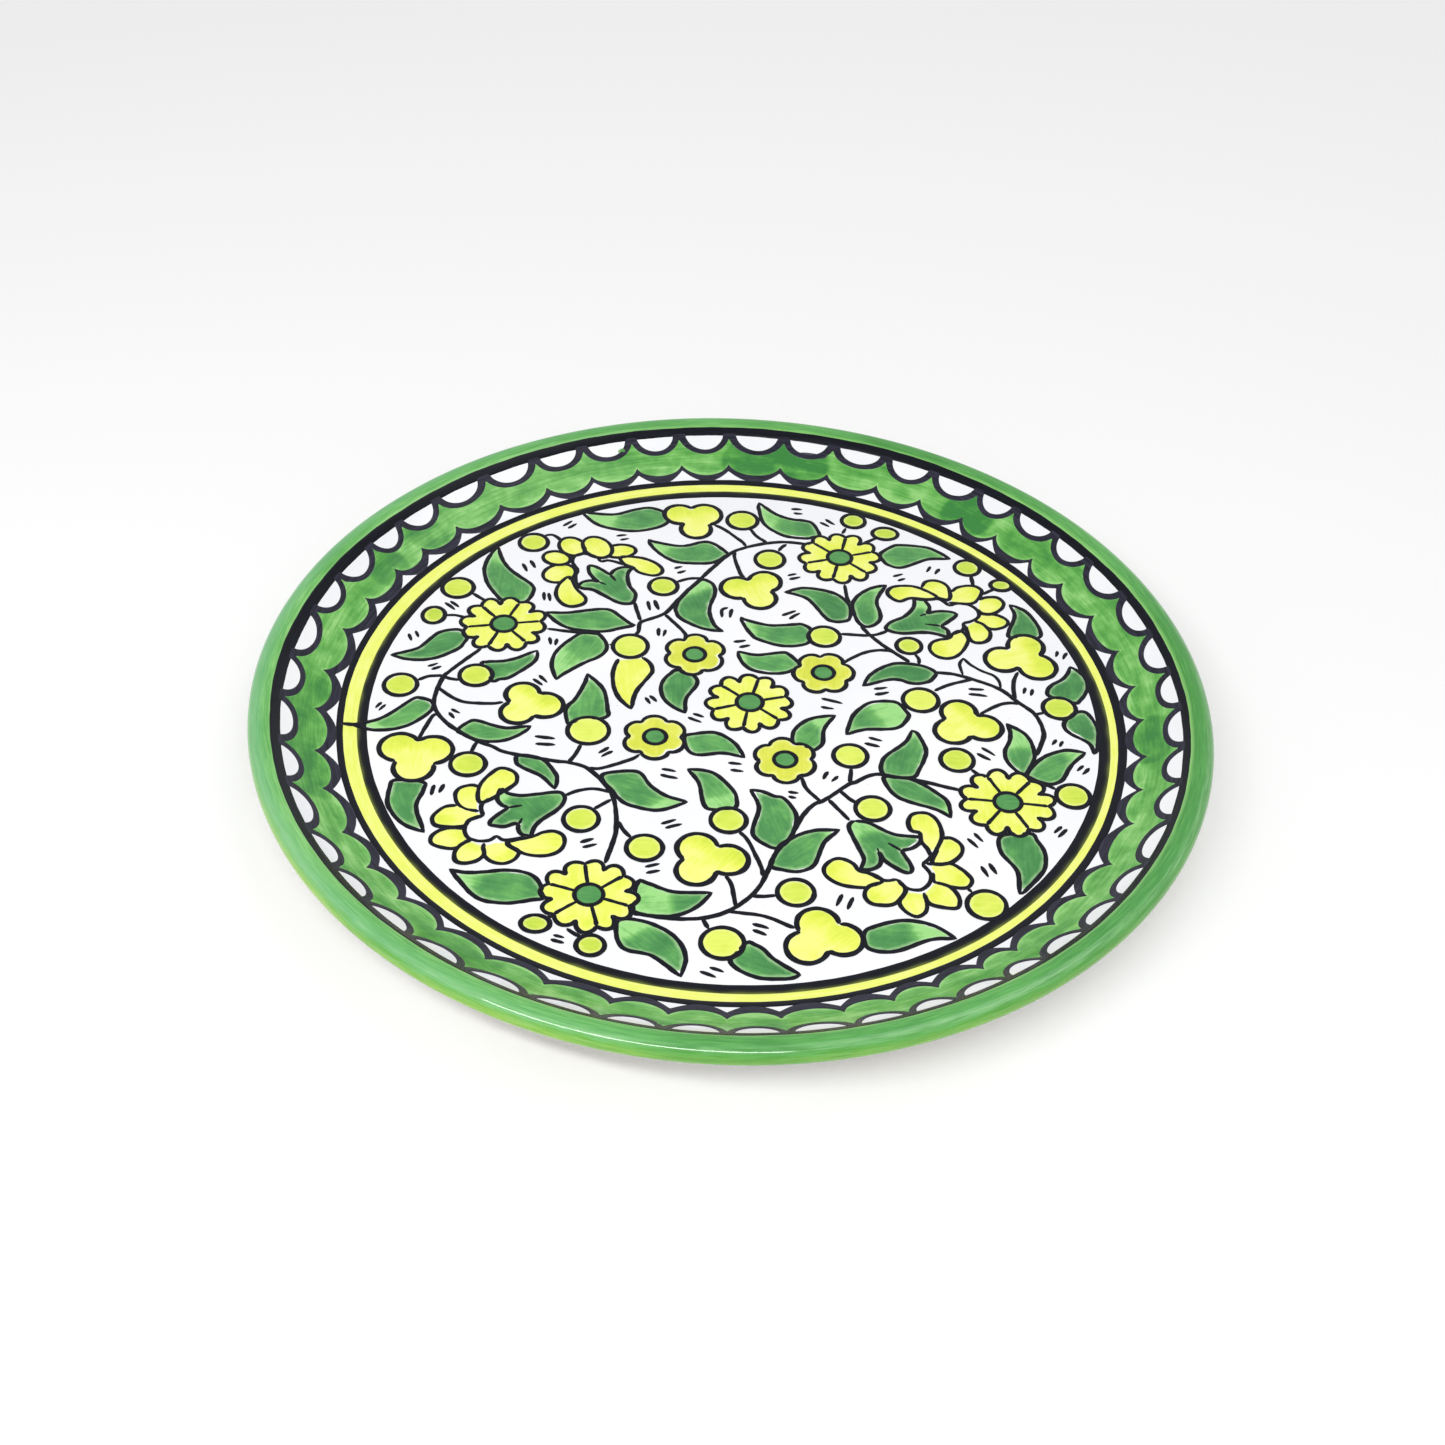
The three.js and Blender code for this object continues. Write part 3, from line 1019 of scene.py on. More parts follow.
# Each leaf: light share and depth / one side from tip to base / the other side
LEAVES = """
0.35 0.75 / -75 71.5, -74 67.5, -72 63, -69 59, -63 53.5, -62 50, -64 44.8, -70.5 45 / -76.5 69, -77.8 64,
-78 59, -76.5 53.5, -74 49;
0.4 0.75 / -49.8 91.5, -40.5 91.4, -34 94.5, -29.3 95.9, -24.8 94, -24.1 92 / -49.8 90.3, -44 84.8, -34 83,
-26.5 85.5, -23 89;
0.15 0.7 / -57.5 40.3, -51 40.5, -43.5 42.5, -39.5 43, -37 42, -32 37, -30.5 36 / -54 36.3, -51 34, -47.5
32.8, -42 32.3, -38 32.8, -34 34.5;
0.4 0.7 / 5.5 101.5, 9.5 97, 13 94.5, 17 93.1, 20.5 92.8, 23 91.3, 25 85.5 / 5.5 98, 7.5 90, 13.5 84.5, 20.5
83.4, 23 84.3;
0.2 0.65 / 66 76.3, 62 79.8, 58 81.8, 50.5 82.3, 47.5 81, 44 77 / 59 75.5, 52.5 71.5, 49.5 70.4, 47 71.3,
45.3 73;
0 0.9 / 83 54.5, 85.5 53.3, 88.5 50.5, 91.3 43.5, 90.5 39 / 84.3 49, 82 41.5, 82.5 38.5;
0.2 0.7 / 45.6 61.3, 41.5 59.8, 38.5 57.5, 36 54, 35 50, 36.5 43, 38.8 40.5 / 42.8 55, 42.5 51.5, 43.3 48,
43.3 44.5, 41.5 41.5;
0.05 0.9 / 14.3 55.5, 20.5 58, 29 56.3, 34 50.8, 34 44 / 18.5 54.3, 22 52, 26.5 44.5, 28.5 42.5, 31.5 42.3;
0.35 0.75 / -28.8 79, -26.5 77.8, -19.5 76.4, -16 77, -12.5 78.8, -10 79.2, -7.5 77.8, -3.8 73.8 / -28 76.5,
-25.5 72.8, -22 69.5, -18 67.9, -10 68.1, -6.5 70, -4.5 72.3;
-0.8 0.85 / -3.8 35, -6.5 38, -8.3 45, -7 52.5, -7.1 56, -8.3 58.5, -10.5 59.8 / -10 36, -16.5 40, -18.3
43.5, -18.3 46.5, -17 50.5, -12 59;
0.25 0.7 / 1.3 42.3, 3 41, 10 39, 17.5 40, 20 40.1, 22.5 37.5 / 1.8 40, 4.5 34.5, 7 32, 14.5 29.5, 21.5
31.5;
0.05 0.75 / -100.3 17, -94 20, -91.5 22.5, -87.5 28.5, -82 30, -79.3 27 / -94.5 15.4, -87.5 16.5, -81.5 21,
-79.8 24;
0.05 0.8 / -58 22.3, -65.5 17.3, -72 16, -73.5 15 / -57.8 19.5, -59 16, -64.5 9.8, -67.5 8.5, -69.8 7.8;
0.5 0.55 / -51.3 9.5, -53.1 15.5, -53 20, -51.5 24, -48.5 28.5, -45.5 31.3, -42 31.3 / -49.5 12, -44 17.5,
-40.5 20, -38.5 22.5, -37.8 25, -38.5 28, -40.5 31;
0.15 0.6 / -42.5 12.8, -37.5 6.5, -35.5 -2, -36 -6 / -42.8 9, -45 1.5, -46.8 -1.5, -47.3 -4.5, -46.5 -8,
-45.5 -9;
0.3 0.6 / -106.5 -14.3, -98.5 -10.5, -91.5 -2.3, -89 -1.3, -85.5 -2.8 / -99 -15.8, -91 -13.3, -85.3 -6.5;
0.1 0.6 / -56.5 -11, -62 -12.3, -65.5 -12, -71.8 -9.9, -74 -10.5, -76.8 -14.3 / -57.5 -13, -60.5 -16, -64
-17.8, -68 -18.4, -71.5 -17.8, -74.5 -16;
0.15 0.75 / -47.3 -36.3, -47 -33, -47.8 -30, -52 -24.5, -58.5 -23.5 / -51.5 -31.5, -57.5 -28, -59 -26;
0.05 0.85 / -13.3 -2.5, -13.3 4, -10.5 10.5, -11.8 14.3 / -17.5 0.5, -19.8 3.5, -20.8 7.5, -20.3 11.5, -18.5
14.5, -16.5 16.3;
0.15 0.62 / 0.8 26.1, 6.5 24.8, 13.5 26.4, 15.8 25.9, 19.3 21.3 / 1.3 23.5, 3 20, 5.5 17.8, 9 16.8, 13 16.8,
16 17.8, 18.5 19.8;
0.1 0.62 / 4.1 -20, 1 -14, -4.5 -10.3, -11 -11.3, -13 -12.5 / -2 -18.6, -8.5 -19.8, -11 -19, -12.5 -16.5;
0.45 0.6 / 29.5 -0.5, 23.5 -2, 20 -4.5, 17.8 -8, 17.3 -11.5, 18 -13.5 / 26.3 -6.5, 25.9 -12.5, 24.5 -14.8,
23 -15.5;
-0.6 0.65 / 32.5 -8.5, 34.5 -0.5, 38 4.5, 41 6.3, 47 6.5, 50 2.5 / 38 -6, 46.8 -4.8, 50.3 0;
0.25 0.7 / -11 -39, -17 -36.8, -21.5 -33, -25 -28, -32 -28.5, -35 -30 / -16.5 -42, -20.5 -42.8, -27 -41, -30
-38.5, -31.5 -36, -34 -33;
-0.7 0.65 / -11.5 -25.8, -4.5 -26.8, 1 -33, 2.3 -36.5, 1.8 -40.5 / -8.3 -31, -6.5 -39.5, -4 -41.5;
0.15 0.75 / 6 -32.8, 9.5 -33.5, 12.5 -35, 15 -35.5, 17.5 -39, 18.8 -43.5, 17.3 -50.5, 13.8 -55 / 8 -37.5,
8.5 -41, 7 -48, 7.5 -51, 10 -53.5;
0.1 0.85 / 37.5 13, 40.5 19, 47 23.8, 55 23.5, 59 20.8 / 45 16.3, 48.5 16.5, 51 15.5, 54 15.3, 57 16.5, 58.5
18.5;
0.05 0.85 / 99 26.3, 101.5 24, 103 21.5, 103.5 18.5, 102.5 14.5, 100.5 11, 98.8 9.8 / 98 23, 96 20, 93 17.5,
91.5 15, 92 12.3;
0.05 0.85 / 102.3 -11.8, 103.5 -9.5, 104.5 -1.5, 102.8 4.5, 101 6.3, 98.5 5.5 / 101.5 -7.5, 96.5 -3.5, 95
-1, 95.3 1.5, 97 4;
0.15 0.7 / 51.3 -5.3, 53 -7, 54.9 -14, 52.8 -21.5, 50.5 -25 / 50 -9, 48 -12, 42.8 -18, 43 -24.5;
0.15 0.75 / 60.8 -40.3, 60.3 -35, 58.5 -32, 51.5 -26.3, 43.5 -25 / 57 -37.5, 47 -33.5, 43.3 -28;
0.5 0.7 / 78.5 -0.5, 84 -5.5, 85.5 -13.5, 82.8 -21 / 79.3 -4, 78.8 -8, 77.3 -12, 77.3 -15.5, 79 -19, 82 -22;
0.3 0.65 / 100 -11.3, 94 -10.8, 87.5 -14.5, 83 -21 / 95.5 -17, 92.5 -23, 89.5 -25, 86.5 -24.5, 83.8 -22.8;
0.15 0.8 / -80.3 -55.4, -83.8 -46, -82.8 -39, -83.3 -36 / -87 -52, -91.5 -45.5, -92 -38.5, -91 -35.8;
0.35 0.7 / -71.8 -68.5, -69 -69.3, -65 -69.3, -57 -67.9, -50.5 -69, -47.3 -73.3 / -64 -77.8, -56.5 -79.7,
-49 -78, -46.5 -77.3;
-0.5 0.7 / -3 -72.5, -13 -72.8, -19.5 -70.3, -22.5 -70 / -7 -78, -13 -81.5, -20.5 -81.3, -23 -80;
-0.78 0.75 / -9.6 -101.8, -8.8 -95, -12 -88.3, -19.5 -83.8, -26.3 -83.5 / -17 -95.5, -23.5 -93.8, -25.8
-91.5, -26.8 -88;
0.1 0.8 / 20.2 -99.4, 13.5 -94.5, 11 -91.5, 8.5 -89.8, 6.3 -89.5 / 17 -100.8, 9 -100.8, 2.5 -96;
0.25 0.7 / 30.4 -46.9, 23 -47.8, 16.5 -52, 12.5 -59, 12.3 -62 / 26.3 -52, 23.8 -60, 21.5 -62.5, 18.5 -63.4,
15.5 -63;
0.05 0.85 / 77.4 -67.8, 79 -66.5, 84 -59.5, 85.3 -55, 85 -51, 83.5 -47.5, 82 -45 / 77.3 -59.5, 73.5 -52.5,
74 -46.5;
0.45 0.7 / 60 -84.5, 54.5 -80.5, 47 -79, 39.5 -81.5, 36.5 -84 / 53.5 -85.3, 44 -90, 37.5 -89.3"""
UNPAINTED_LEAF = """
67.5 27.8, 69.5 25, 72.5 22.5, 76 20.5, 77.5 18, 77.8 15 / 67.5 27.8, 66.3 25, 67 20.3"""
TIP_OVERRUN = "-103.5 -13.8, -106.5 -14.3, -109.8 -14.6"


THIN_PAINT = 0.08


def leaf_tone(light, depth, seed):
    """Thin paint for a share of the leaf from its tip, or from its base where
    the share is negative, and a thicker second stroke over the rest."""
    chance = random.Random(seed)
    bend = chance.uniform(-0.015, 0.015)

    def tone(share, across):
        place = share if light >= 0 else 1 - share
        begins = max(0.02, abs(light) if light >= 0 else 1 + light)
        second = soft_step(place + bend * across, begins, 0.1)
        return THIN_PAINT + (depth - THIN_PAINT) * second - 0.012 * abs(across)
    return tone


def draw_leaves(paint, lines):
    for seed, ([[light, depth]], side, other) in enumerate(motifs_of(LEAVES), LEAF_SEED):
        loop = smooth(np.vstack([side, other[::-1], side[:1]]))
        base = (side[-1] + other[-1]) / 2
        fill(paint, loop, (side[0], base), leaf_tone(light, depth, seed), seed)
        stroke(lines, loop, LEAF_LINE, seed)
    for seed, side in enumerate(lines_of(UNPAINTED_LEAF), BARE_LEAF_SEED):
        stroke(lines, smooth(side), BARE_LEAF_LINE, seed)
    stroke(lines, smooth(points_of(TIP_OVERRUN)), OVERRUN_LINE, OVERRUN_SEED, lift=LINE_HEIGHT)


# ---------------------------------------------------------------------------
# Berries, trefoils and the yellow drop
# ---------------------------------------------------------------------------

# x, y, half width, half height, paint thickness
BERRIES = """
-64.4 74.5 4.4 4.3 .5, -84.9 50 4.7 4.7 .45, -90.4 36.3 3.3 3.8 .7, .4 91.3 4.8 4.6 .5, 9.5 71.5 4.5 4.5 .4,
35.8 93.8 3.7 3.6 .7, 45.8 87.8 4 3.1 .75, 71 71.9 3.9 3.8 .6, 81 63.8 3.2 2.6 .8, -22.8 55.4 4.3 4.2 .5,
26.4 34.8 4.7 4.6 .4, 51.6 32.3 3.7 3.6 .6, 54.2 7.9 5.1 5 .15, 94.2 7.2 4.7 4.6 .5, -95.5 4 4.7 4.7 .45,
-74.5 9.7 4.7 4.6 .5, -40.2 -11.9 5.8 5.6 .1, -72.1 -28 4.8 4.6 .5, 33.6 -17.4 4.7 4.6 .3, 63.5 -17 4.6 4.6
.5, 94.9 -29.5 4.6 4.6 .45, 39.5 -38.2 4.7 4.6 .35, .4 -45.3 4.8 4.7 .4, -39.2 -47.5 4.7 4.7 .4, -21.5 -57.3
4.8 4.7 .35, 18.8 -71 4.8 4.7 .35, 68.5 -72.3 5.1 5 .3, .3 -89.9 5.5 5.3 .1, -47.6 -86.3 3.7 2.9 .75, -33
-92.8 3.6 3.4 .7, -30.9 26.1 5.1 5.2 .2"""

# Three lobes each: x, y, radius
TREFOILS = """
-19.6 93 4.9, -11.7 93.4 5.3, -14.1 85.6 4.7; 86.5 34.5 5.3, 79.3 28 5.3, 89.3 25.3 5.5; -0.1 56.4 5.1, 8.1
60 4.9, 6.8 51.7 4.9; -60.2 2.4 4.8, -60.8 -5.5 4.8, -53.4 -2 5.2; -91.8 -22.5 5.6, -82.5 -23 5.5, -86.8
-30.3 5.5; 65 3.3 5, 63 -4.8 5.2, 71.8 -2.8 5.2; 24.5 -81.8 5.4, 30.8 -86.8 5.3, 21.8 -90 5.4; -7.5 -56.5
5.4, 0.8 -60.3 5.3, -7.5 -64.8 5.2"""

DROP = """
-34 20, -35 16, -35 11, -34 6, -32 2, -28.8 -1.8 / -27 21.3, -24.8 19, -23.8 16, -24.3 13.5, -27.8 6, -28.8
-1.8"""


def draw_berries(paint, lines):
    for seed, (x, y, rx, ry, tone) in enumerate(points_of(BERRIES), BERRY_SEED):
        loop = ellipse(x, y, rx, ry)
        centre = loop.mean(0)
        fill(paint, loop, (centre - [rx, 0], centre + [rx, 0.5]), even_tone(tone), seed, UPPER_LAYER)
        stroke(lines, loop, OUTLINE, seed, closed=True, lift=UPPER_LAYER)


LOBE_STEPS = 72


def lobe_arcs(lobes):
    """The outer arcs of overlapping round lobes, each as one line."""
    turn = round_angles(LOBE_STEPS)
    arcs = []
    for k, (x, y, radius) in enumerate(lobes):
        ring = np.array([x, y]) + radius * np.stack([np.cos(turn), np.sin(turn)], -1)
        others = [lobe for j, lobe in enumerate(lobes) if j != k]
        hidden = np.zeros(len(ring), bool)
        for ox, oy, oradius in others:
            hidden |= np.hypot(ring[:, 0] - ox, ring[:, 1] - oy) < oradius
        middle = np.mean([lobe[:2] for lobe in lobes], 0)
        hidden |= np.hypot(*(ring - middle).T) < radius * 0.55
        first = int(np.argmax(hidden & ~np.roll(hidden, -1)))
        ordered = np.roll(np.arange(len(ring)), -(first + 1))
        arcs.append(ring[[i for i in ordered if not hidden[i]]])
    return arcs


def draw_trefoils(paint, lines):
    for seed, [lobes] in enumerate(motifs_of(TREFOILS), TREFOIL_SEED):
        middle = np.mean([lobe[:2] for lobe in lobes], 0)
        lobes = sorted(lobes, key=lambda lobe: math.atan2(lobe[1] - middle[1], lobe[0] - middle[0]))
        arcs = [even(arc) for arc in lobe_arcs(lobes)]
        side = lobes[0][:2]
        fill(paint, even(np.vstack(arcs + [arcs[0][:1]])), (side, 2 * middle - side),
             lambda share, across: 0.15 + 0.5 * soft_step(share, 0.75, 0.5), seed, UPPER_LAYER)
        for number, arc in enumerate(arcs):
            stroke(lines, arc, LOBE_LINE, seed + 20 * number, lift=UPPER_LAYER)
    drop = [smooth(side) for side in lines_of(DROP)]
    loop = np.vstack([drop[0], drop[1][::-1], drop[0][:1]])
    fill(paint, even(loop), (loop[0], drop[0][-1]), even_tone(0.35), DROP_SEED)
    for seed, side in enumerate(drop, DROP_SEED + 1):
        stroke(lines, side, DROP_LINE, seed)


# ---------------------------------------------------------------------------
# Daisies and small flowers
# ---------------------------------------------------------------------------

# x, y, radius, angle of the first heart notch
DAISIES = [(4.9, 3.25, 12.4, 49), (-69.15, 33.65, 12.6, 41), (31.25, 74, 12.6, 49),
           (76.6, -33.3, 12.9, 24), (-34.8, -75.4, 12.9, 13)]

# x, y, angles of the notches between the six lobes
SMALL_FLOWERS = [(-11.8, 23.5, (0, 61, 118, 178, 236, 292)), (26.1, 17.9, (38, 97, 158, 218, 275, 334)),
                 (-21.3, -13.3, (4, 65, 125, 182, 240, 304)), (15.4, -20.3, (5, 69, 128, 188, 243, 304))]


def lobed_arcs(centre, radius, valleys, seed):
    """A flower's outline as one arc for each lobe between (angle, radius) valleys."""
    chance = random.Random(seed)
    arcs = []
    for (start, low), (end, high) in zip(valleys, valleys[1:] + valleys[:1]):
        share = np.linspace(0, 1, 13)
        turn = np.radians(start + ((end - start) % 360) * share)
        valley = low + (high - low) * share
        reach = radius * (1 + chance.uniform(-0.035, 0.035))
        out = valley + (reach - valley) * np.sin(math.pi * share) ** 0.62
        arcs.append(centre + np.stack([out * np.cos(turn), out * np.sin(turn)], -1))
    return arcs


def paint_flower(petals, lines, centre, arcs, seed, tone):
    loop = even(np.vstack(arcs + [arcs[0][:1]]))
    fill(petals, loop, (centre, centre + [0, 9]), even_tone(tone), seed, UPPER_LAYER)
    for number, arc in enumerate(arcs):
        stroke(lines, even(arc), PETAL_LINE, seed * 20 + number, lift=UPPER_LAYER)


# A flower's radii: from its middle to the green disc's edge, to the valleys
# between lobes, and where a daisy's rays start and bend
DAISY_DISC = 3.75
SMALL_DISC = 3.15
SMALL_REACH = 9.0
SMALL_VALLEY = 7.0
RAY_START = 3.6
RAY_MIDDLE = 7

# How far the disc and its ring stand above the petals
DISC_LIFT = 0.11
DISC_LINE_LIFT = 0.13


def paint_centre(discs, lines, x, y, disc, seed):
    loop = ellipse(x, y, disc, disc * 0.97)
    centre = loop.mean(0)
    ends = (centre - [disc, 0], centre + [disc, 0])
    fill(discs, loop, ends, even_tone(0.7), seed, UPPER_LAYER + DISC_LIFT)
    ring = ellipse(x, y, disc, disc)
    stroke(lines, ring, CENTRE_LINE, seed + 40, closed=True, lift=UPPER_LAYER + DISC_LINE_LIFT)


def draw_daisies(petals, lines, discs):
    for seed, (x, y, radius, first) in enumerate(DAISIES, DAISY_SEED):
        centre = np.array([x, y])
        chance = random.Random(seed)
        valleys = []
        for k in range(6):
            notch = first + 60 * k + chance.uniform(-2, 2)
            valleys.append((notch, radius * 0.72))
            valleys.append((notch + 30 + chance.uniform(-1.5, 1.5), radius * 0.85))
        paint_flower(petals, lines, centre, lobed_arcs(centre, radius, valleys, seed), seed, 0.3)
        for number, (angle, out) in enumerate(valleys[1::2]):
            turn = math.radians(angle)
            ray = np.array([math.cos(turn), math.sin(turn)])
            path = np.array([centre + ray * reach for reach in (RAY_START, RAY_MIDDLE, out)])
            stroke(lines, even(path), RAY_LINE, seed * 30 + number, lift=UPPER_LAYER)
        paint_centre(discs, lines, x, y, DAISY_DISC, seed)


def draw_small_flowers(petals, lines, discs):
    for seed, (x, y, notches) in enumerate(SMALL_FLOWERS, SMALL_FLOWER_SEED):
        centre = np.array([x, y])
        valleys = [(angle, SMALL_VALLEY) for angle in notches]
        paint_flower(petals, lines, centre, lobed_arcs(centre, SMALL_REACH, valleys, seed), seed, 0.5)
        paint_centre(discs, lines, x, y, SMALL_DISC, seed)


def make_flowers():
    """The daisies and small flowers, whose green discs are one piece."""
    discs = Coat()

    def daisies(petals, lines):
        draw_daisies(petals, lines, discs)

    def small_flowers(petals, lines):
        draw_small_flowers(petals, lines, discs)

    make_motif(daisies, "daisy", "_petals", petal_yellow, YELLOW_SLOT)
    make_motif(small_flowers, "small_flower", "_petals", flower_yellow, YELLOW_SLOT)
    discs.make("flower_centres", disc_green, GREEN_SLOT)


# ---------------------------------------------------------------------------
# Carnations: yellow petals, a white heart and a green tulip
# ---------------------------------------------------------------------------

# Oval petals: x, y, half width, half height, lean
PETAL_OVALS = """
-55 59.5 5.2 4.3 35, -56.5 67 4.3 3.3 -15, -52.2 73.4 4.9 3.9 125, -44.4 73.5 5.7 4.2 124, -37.3 72.2 5 3.3
12"""

# Closed petals, each on one smooth curve
BEAN_PETALS = """
-51.7 57.8, -54.5 54, -55 49, -53 45, -50 43.5, -46.5 45, -46 48, -49 52 / -37 69, -34 69.6, -29.5 69, -25.8
67, -23.6 64.2, -24 61.7, -26.5 60.6, -30.5 61.8, -32.5 63.8, -35.5 65.8 / 45.8 57.5, 47 60, 50 61.1, 55
60.8, 61 56.5, 57.8 55, 52.8 55.3, 49.5 53.5, 47 55 / 67.5 40.5, 69.5 37, 68 32, 65.5 28.5, 62.5 27.3, 59.5
28.3, 57.8 31, 58.3 34, 60.5 35.8, 63.8 36.8, 65 39 / -62 -29.1, -59 -30.5, -58 -33, -59 -36, -66.5 -43,
-67.8 -36.5, -64.5 -30.3 / -58 -57.8, -51.5 -55, -49 -53.3, -46 -52.6, -43.5 -54, -42.8 -57, -44 -60, -47
-61.8, -51 -62, -54.5 -60.8 / 52.5 -39, 50 -40, 49 -43, 49.8 -46, 52 -46.8, 52.3 -50, 53.8 -52.5, 55 -55,
57.5 -49.5, 57.9 -46, 57 -42, 55 -39.5 / 31 -57.8, 28.5 -58.3, 26.3 -61, 26.5 -64, 29 -66.5, 32.5 -67.8, 38
-67.8, 41.5 -65.3, 39 -63, 35.5 -62, 34 -59.5"""

# Petals whose base is hidden by their neighbours
OPEN_PETALS = """
56.5 61, 57.5 63.5, 60 64.6, 62.8 63.8, 64.8 61, 64.5 55.5, 60 56.5 / 65.5 59.5, 67.5 61.8, 71 63, 73.8
62.3, 74.9 59.8, 71.8 54.3, 64.5 54 / 73.5 56, 76.5 57.5, 79.5 57.5, 81.3 55, 80.3 52, 77.5 49.5, 74.5 49.5,
73 51.5 / 74 49, 78 49.3, 81.3 47.5, 82 45.3, 80 43, 76.5 42.3, 72 46 / 72 45.3, 74.5 44, 76.3 40.5, 75.5
37, 73 35.3, 70.3 36.3, 69 43 / -67.5 -37, -70 -36.3, -73 -37.5, -74 -40, -73 -43.5, -70.5 -45.8, -67 -46.3
/ -73 -44.5, -76 -45.3, -78.3 -48, -78.8 -50.5, -77 -52.8, -70.5 -52.5, -69 -50, -65.5 -48 / -70 -53.3, -74
-53.3, -77 -55, -78.3 -57.5, -77 -60, -71.5 -60.8, -68.3 -57.3 / -67.5 -57.5, -70 -59.5, -71.3 -62.5, -70.5
-65.5, -68 -66.1, -65 -64.8, -63.5 -62.5, -64.3 -59.5 / -64 -58.5, -64 -61.5, -62 -64.5, -58.5 -65.6, -55.5
-64, -54.5 -61, -57 -59, -58.3 -57 / 58 -48.5, 60.5 -48.3, 62.8 -50.5, 63 -53.5, 61 -56.5, 58.5 -58, 55
-57.8, 56.5 -52.5 / 53.5 -58.3, 60 -57.8, 64.8 -62.5, 64.5 -65.5, 62 -66.6, 55.5 -65, 55 -61.5 / 55.5 -65,
59 -66.3, 61 -69, 61.5 -72, 60 -74, 54 -73, 52.3 -69.5 / 47.5 -68.5, 45.8 -72.5, 47 -75.5, 50 -77.5, 52.3
-76, 53 -73, 52.3 -69 / 41.3 -66, 38 -67.5, 36.8 -70.5, 38 -73.3, 41 -74.1, 44.5 -73.3, 47.5 -68.5, 45.8
-65"""

# The scalloped edge of each white heart; each slash is a cusp
HEART_EDGES = """
-48.3 53, -49.3 55, -50 58.5, -49.3 61.5 / -51.5 65.5, -51 68.5, -48.3 70, -44.5 69, -42.8 66.3 / -39.5 67,
-32 64;
55.8 54.3, 59 55.5, 62 55.3, 64.5 52.5 / 67 53.8, 70.5 53.5, 73 51, 73.3 48, 71 45.5, 68.3 44.3 / 68.5 42,
67 40, 64 38.5;
-63 -40.3, -65.5 -42, -66.5 -44.5, -65.5 -48 / -68 -49, -69.8 -52, -69 -56, -66.5 -57.5, -63 -57.3, -61
-55.3 / -58.5 -56.8, -52 -55;
52.3 -50, 54 -52.5, 54.5 -55.5, 52.3 -58.5 / 54.3 -62, 54 -65, 51.5 -67.8, 48 -67.5, 45.3 -64.5 / 42 -65, 37
-62"""

# Tulip outlines; each slash is a tip or a notch
TULIPS = """
-46.3 64.3, -43.5 63.2, -39.3 59.8 / -38.5 62, -36 63.8, -32.3 64.3 / -33.8 62, -34 58.5, -33 54.5, -31 51,
-31.5 47, -33.5 46, -36.5 46.8, -43.5 51.8, -47 52.5, -48.8 53.5 / -47.5 55.5, -45 56.5, -42.5 56 / -44
57.5, -46 61, -46.3 64.3;
53.8 55, 54 52.5, 53 49.5, 50.5 46, 47 43.5, 45.3 41.5, 45.3 39.5, 49.5 38.1, 57.5 39, 63.5 37.3 / 63.5
40.3, 61.5 42.3 / 65.5 46.5, 66.8 48.7 / 64 49.5, 60.5 49.3, 57.5 48 / 58.3 50, 58.3 52, 57 54.5 / 53.8 55;
-62 -36.8, -59.8 -39, -56.5 -39.6, -53 -39.1, -46.5 -37.6, -44.5 -38.8, -44.5 -41.5, -46 -44.5, -50.8 -50,
-52 -54.8 / -54.3 -54.5, -55.5 -52.5, -55.6 -50.5 / -57 -50.5, -59.5 -51.8, -63.5 -51.5 / -62.8 -49, -59
-44.5 / -61 -43.5, -62.5 -41, -62 -36.8;
34.5 -43.3, 33.5 -44, 33 -46.5, 35.5 -53.5, 36.8 -57.5, 35.8 -61.5 / 38 -61.5, 40.5 -60, 41.3 -57.5, 40.8
-54.5 / 42.5 -58, 47 -61.5, 49 -62 / 49.3 -59.5, 46.8 -53.8 / 50 -52.5, 51.8 -50.5, 52.3 -48.4 / 45 -47.8,
38.5 -44, 34.5 -43.3"""

# Strokes that run on from the tulips' notches into the paint
TULIP_NOTCHES = """
-39.3 59.8, -37.2 56.5 / -42.5 56, -39.8 54.5 / 61.5 42.3, 56.3 42.9 / 57.5 48, 55 46.3 / -55.6 -50.5, -54.8
-48 / -59 -44.5, -55 -43.3 / 40.8 -54.5, 40.3 -53 / 46.8 -53.8, 43 -51"""


def cornered(sections):
    """The smooth lines between a path's corners, each starting at the last corner."""
    lines = [smooth(sections[0])]
    for before, section in zip(sections, sections[1:]):
        lines.append(smooth(np.vstack([before[-1:], section])))
    return lines


def draw_carnations(petals, lines):
    outlines = [(ellipse(*oval), True) for oval in points_of(PETAL_OVALS)]
    outlines += [(smooth(line, closed=True), True) for line in lines_of(BEAN_PETALS)]
    outlines += [(smooth(line), False) for line in lines_of(OPEN_PETALS)]
    for seed, (line, closed) in enumerate(outlines, PETAL_SEED):
        loop = line if closed else even(np.vstack([line, line[:1]]))
        centre = loop.mean(0)
        far = line[np.argmax(np.hypot(*(line - centre).T))]
        lift = UPPER_LAYER * (seed % 2)
        fill(petals, loop, (2 * centre - far, far),
             lambda share, across: 0.15 + 0.45 * soft_step(1 - share, 0.65, 0.4), seed, lift)
        stroke(lines, line, PETAL_LINE, seed, closed, lift)
    for seed, sections in enumerate(motifs_of(HEART_EDGES), HEART_SEED):
        for number, line in enumerate(cornered(sections)):
            stroke(lines, line, PETAL_LINE, seed * 5 + number)


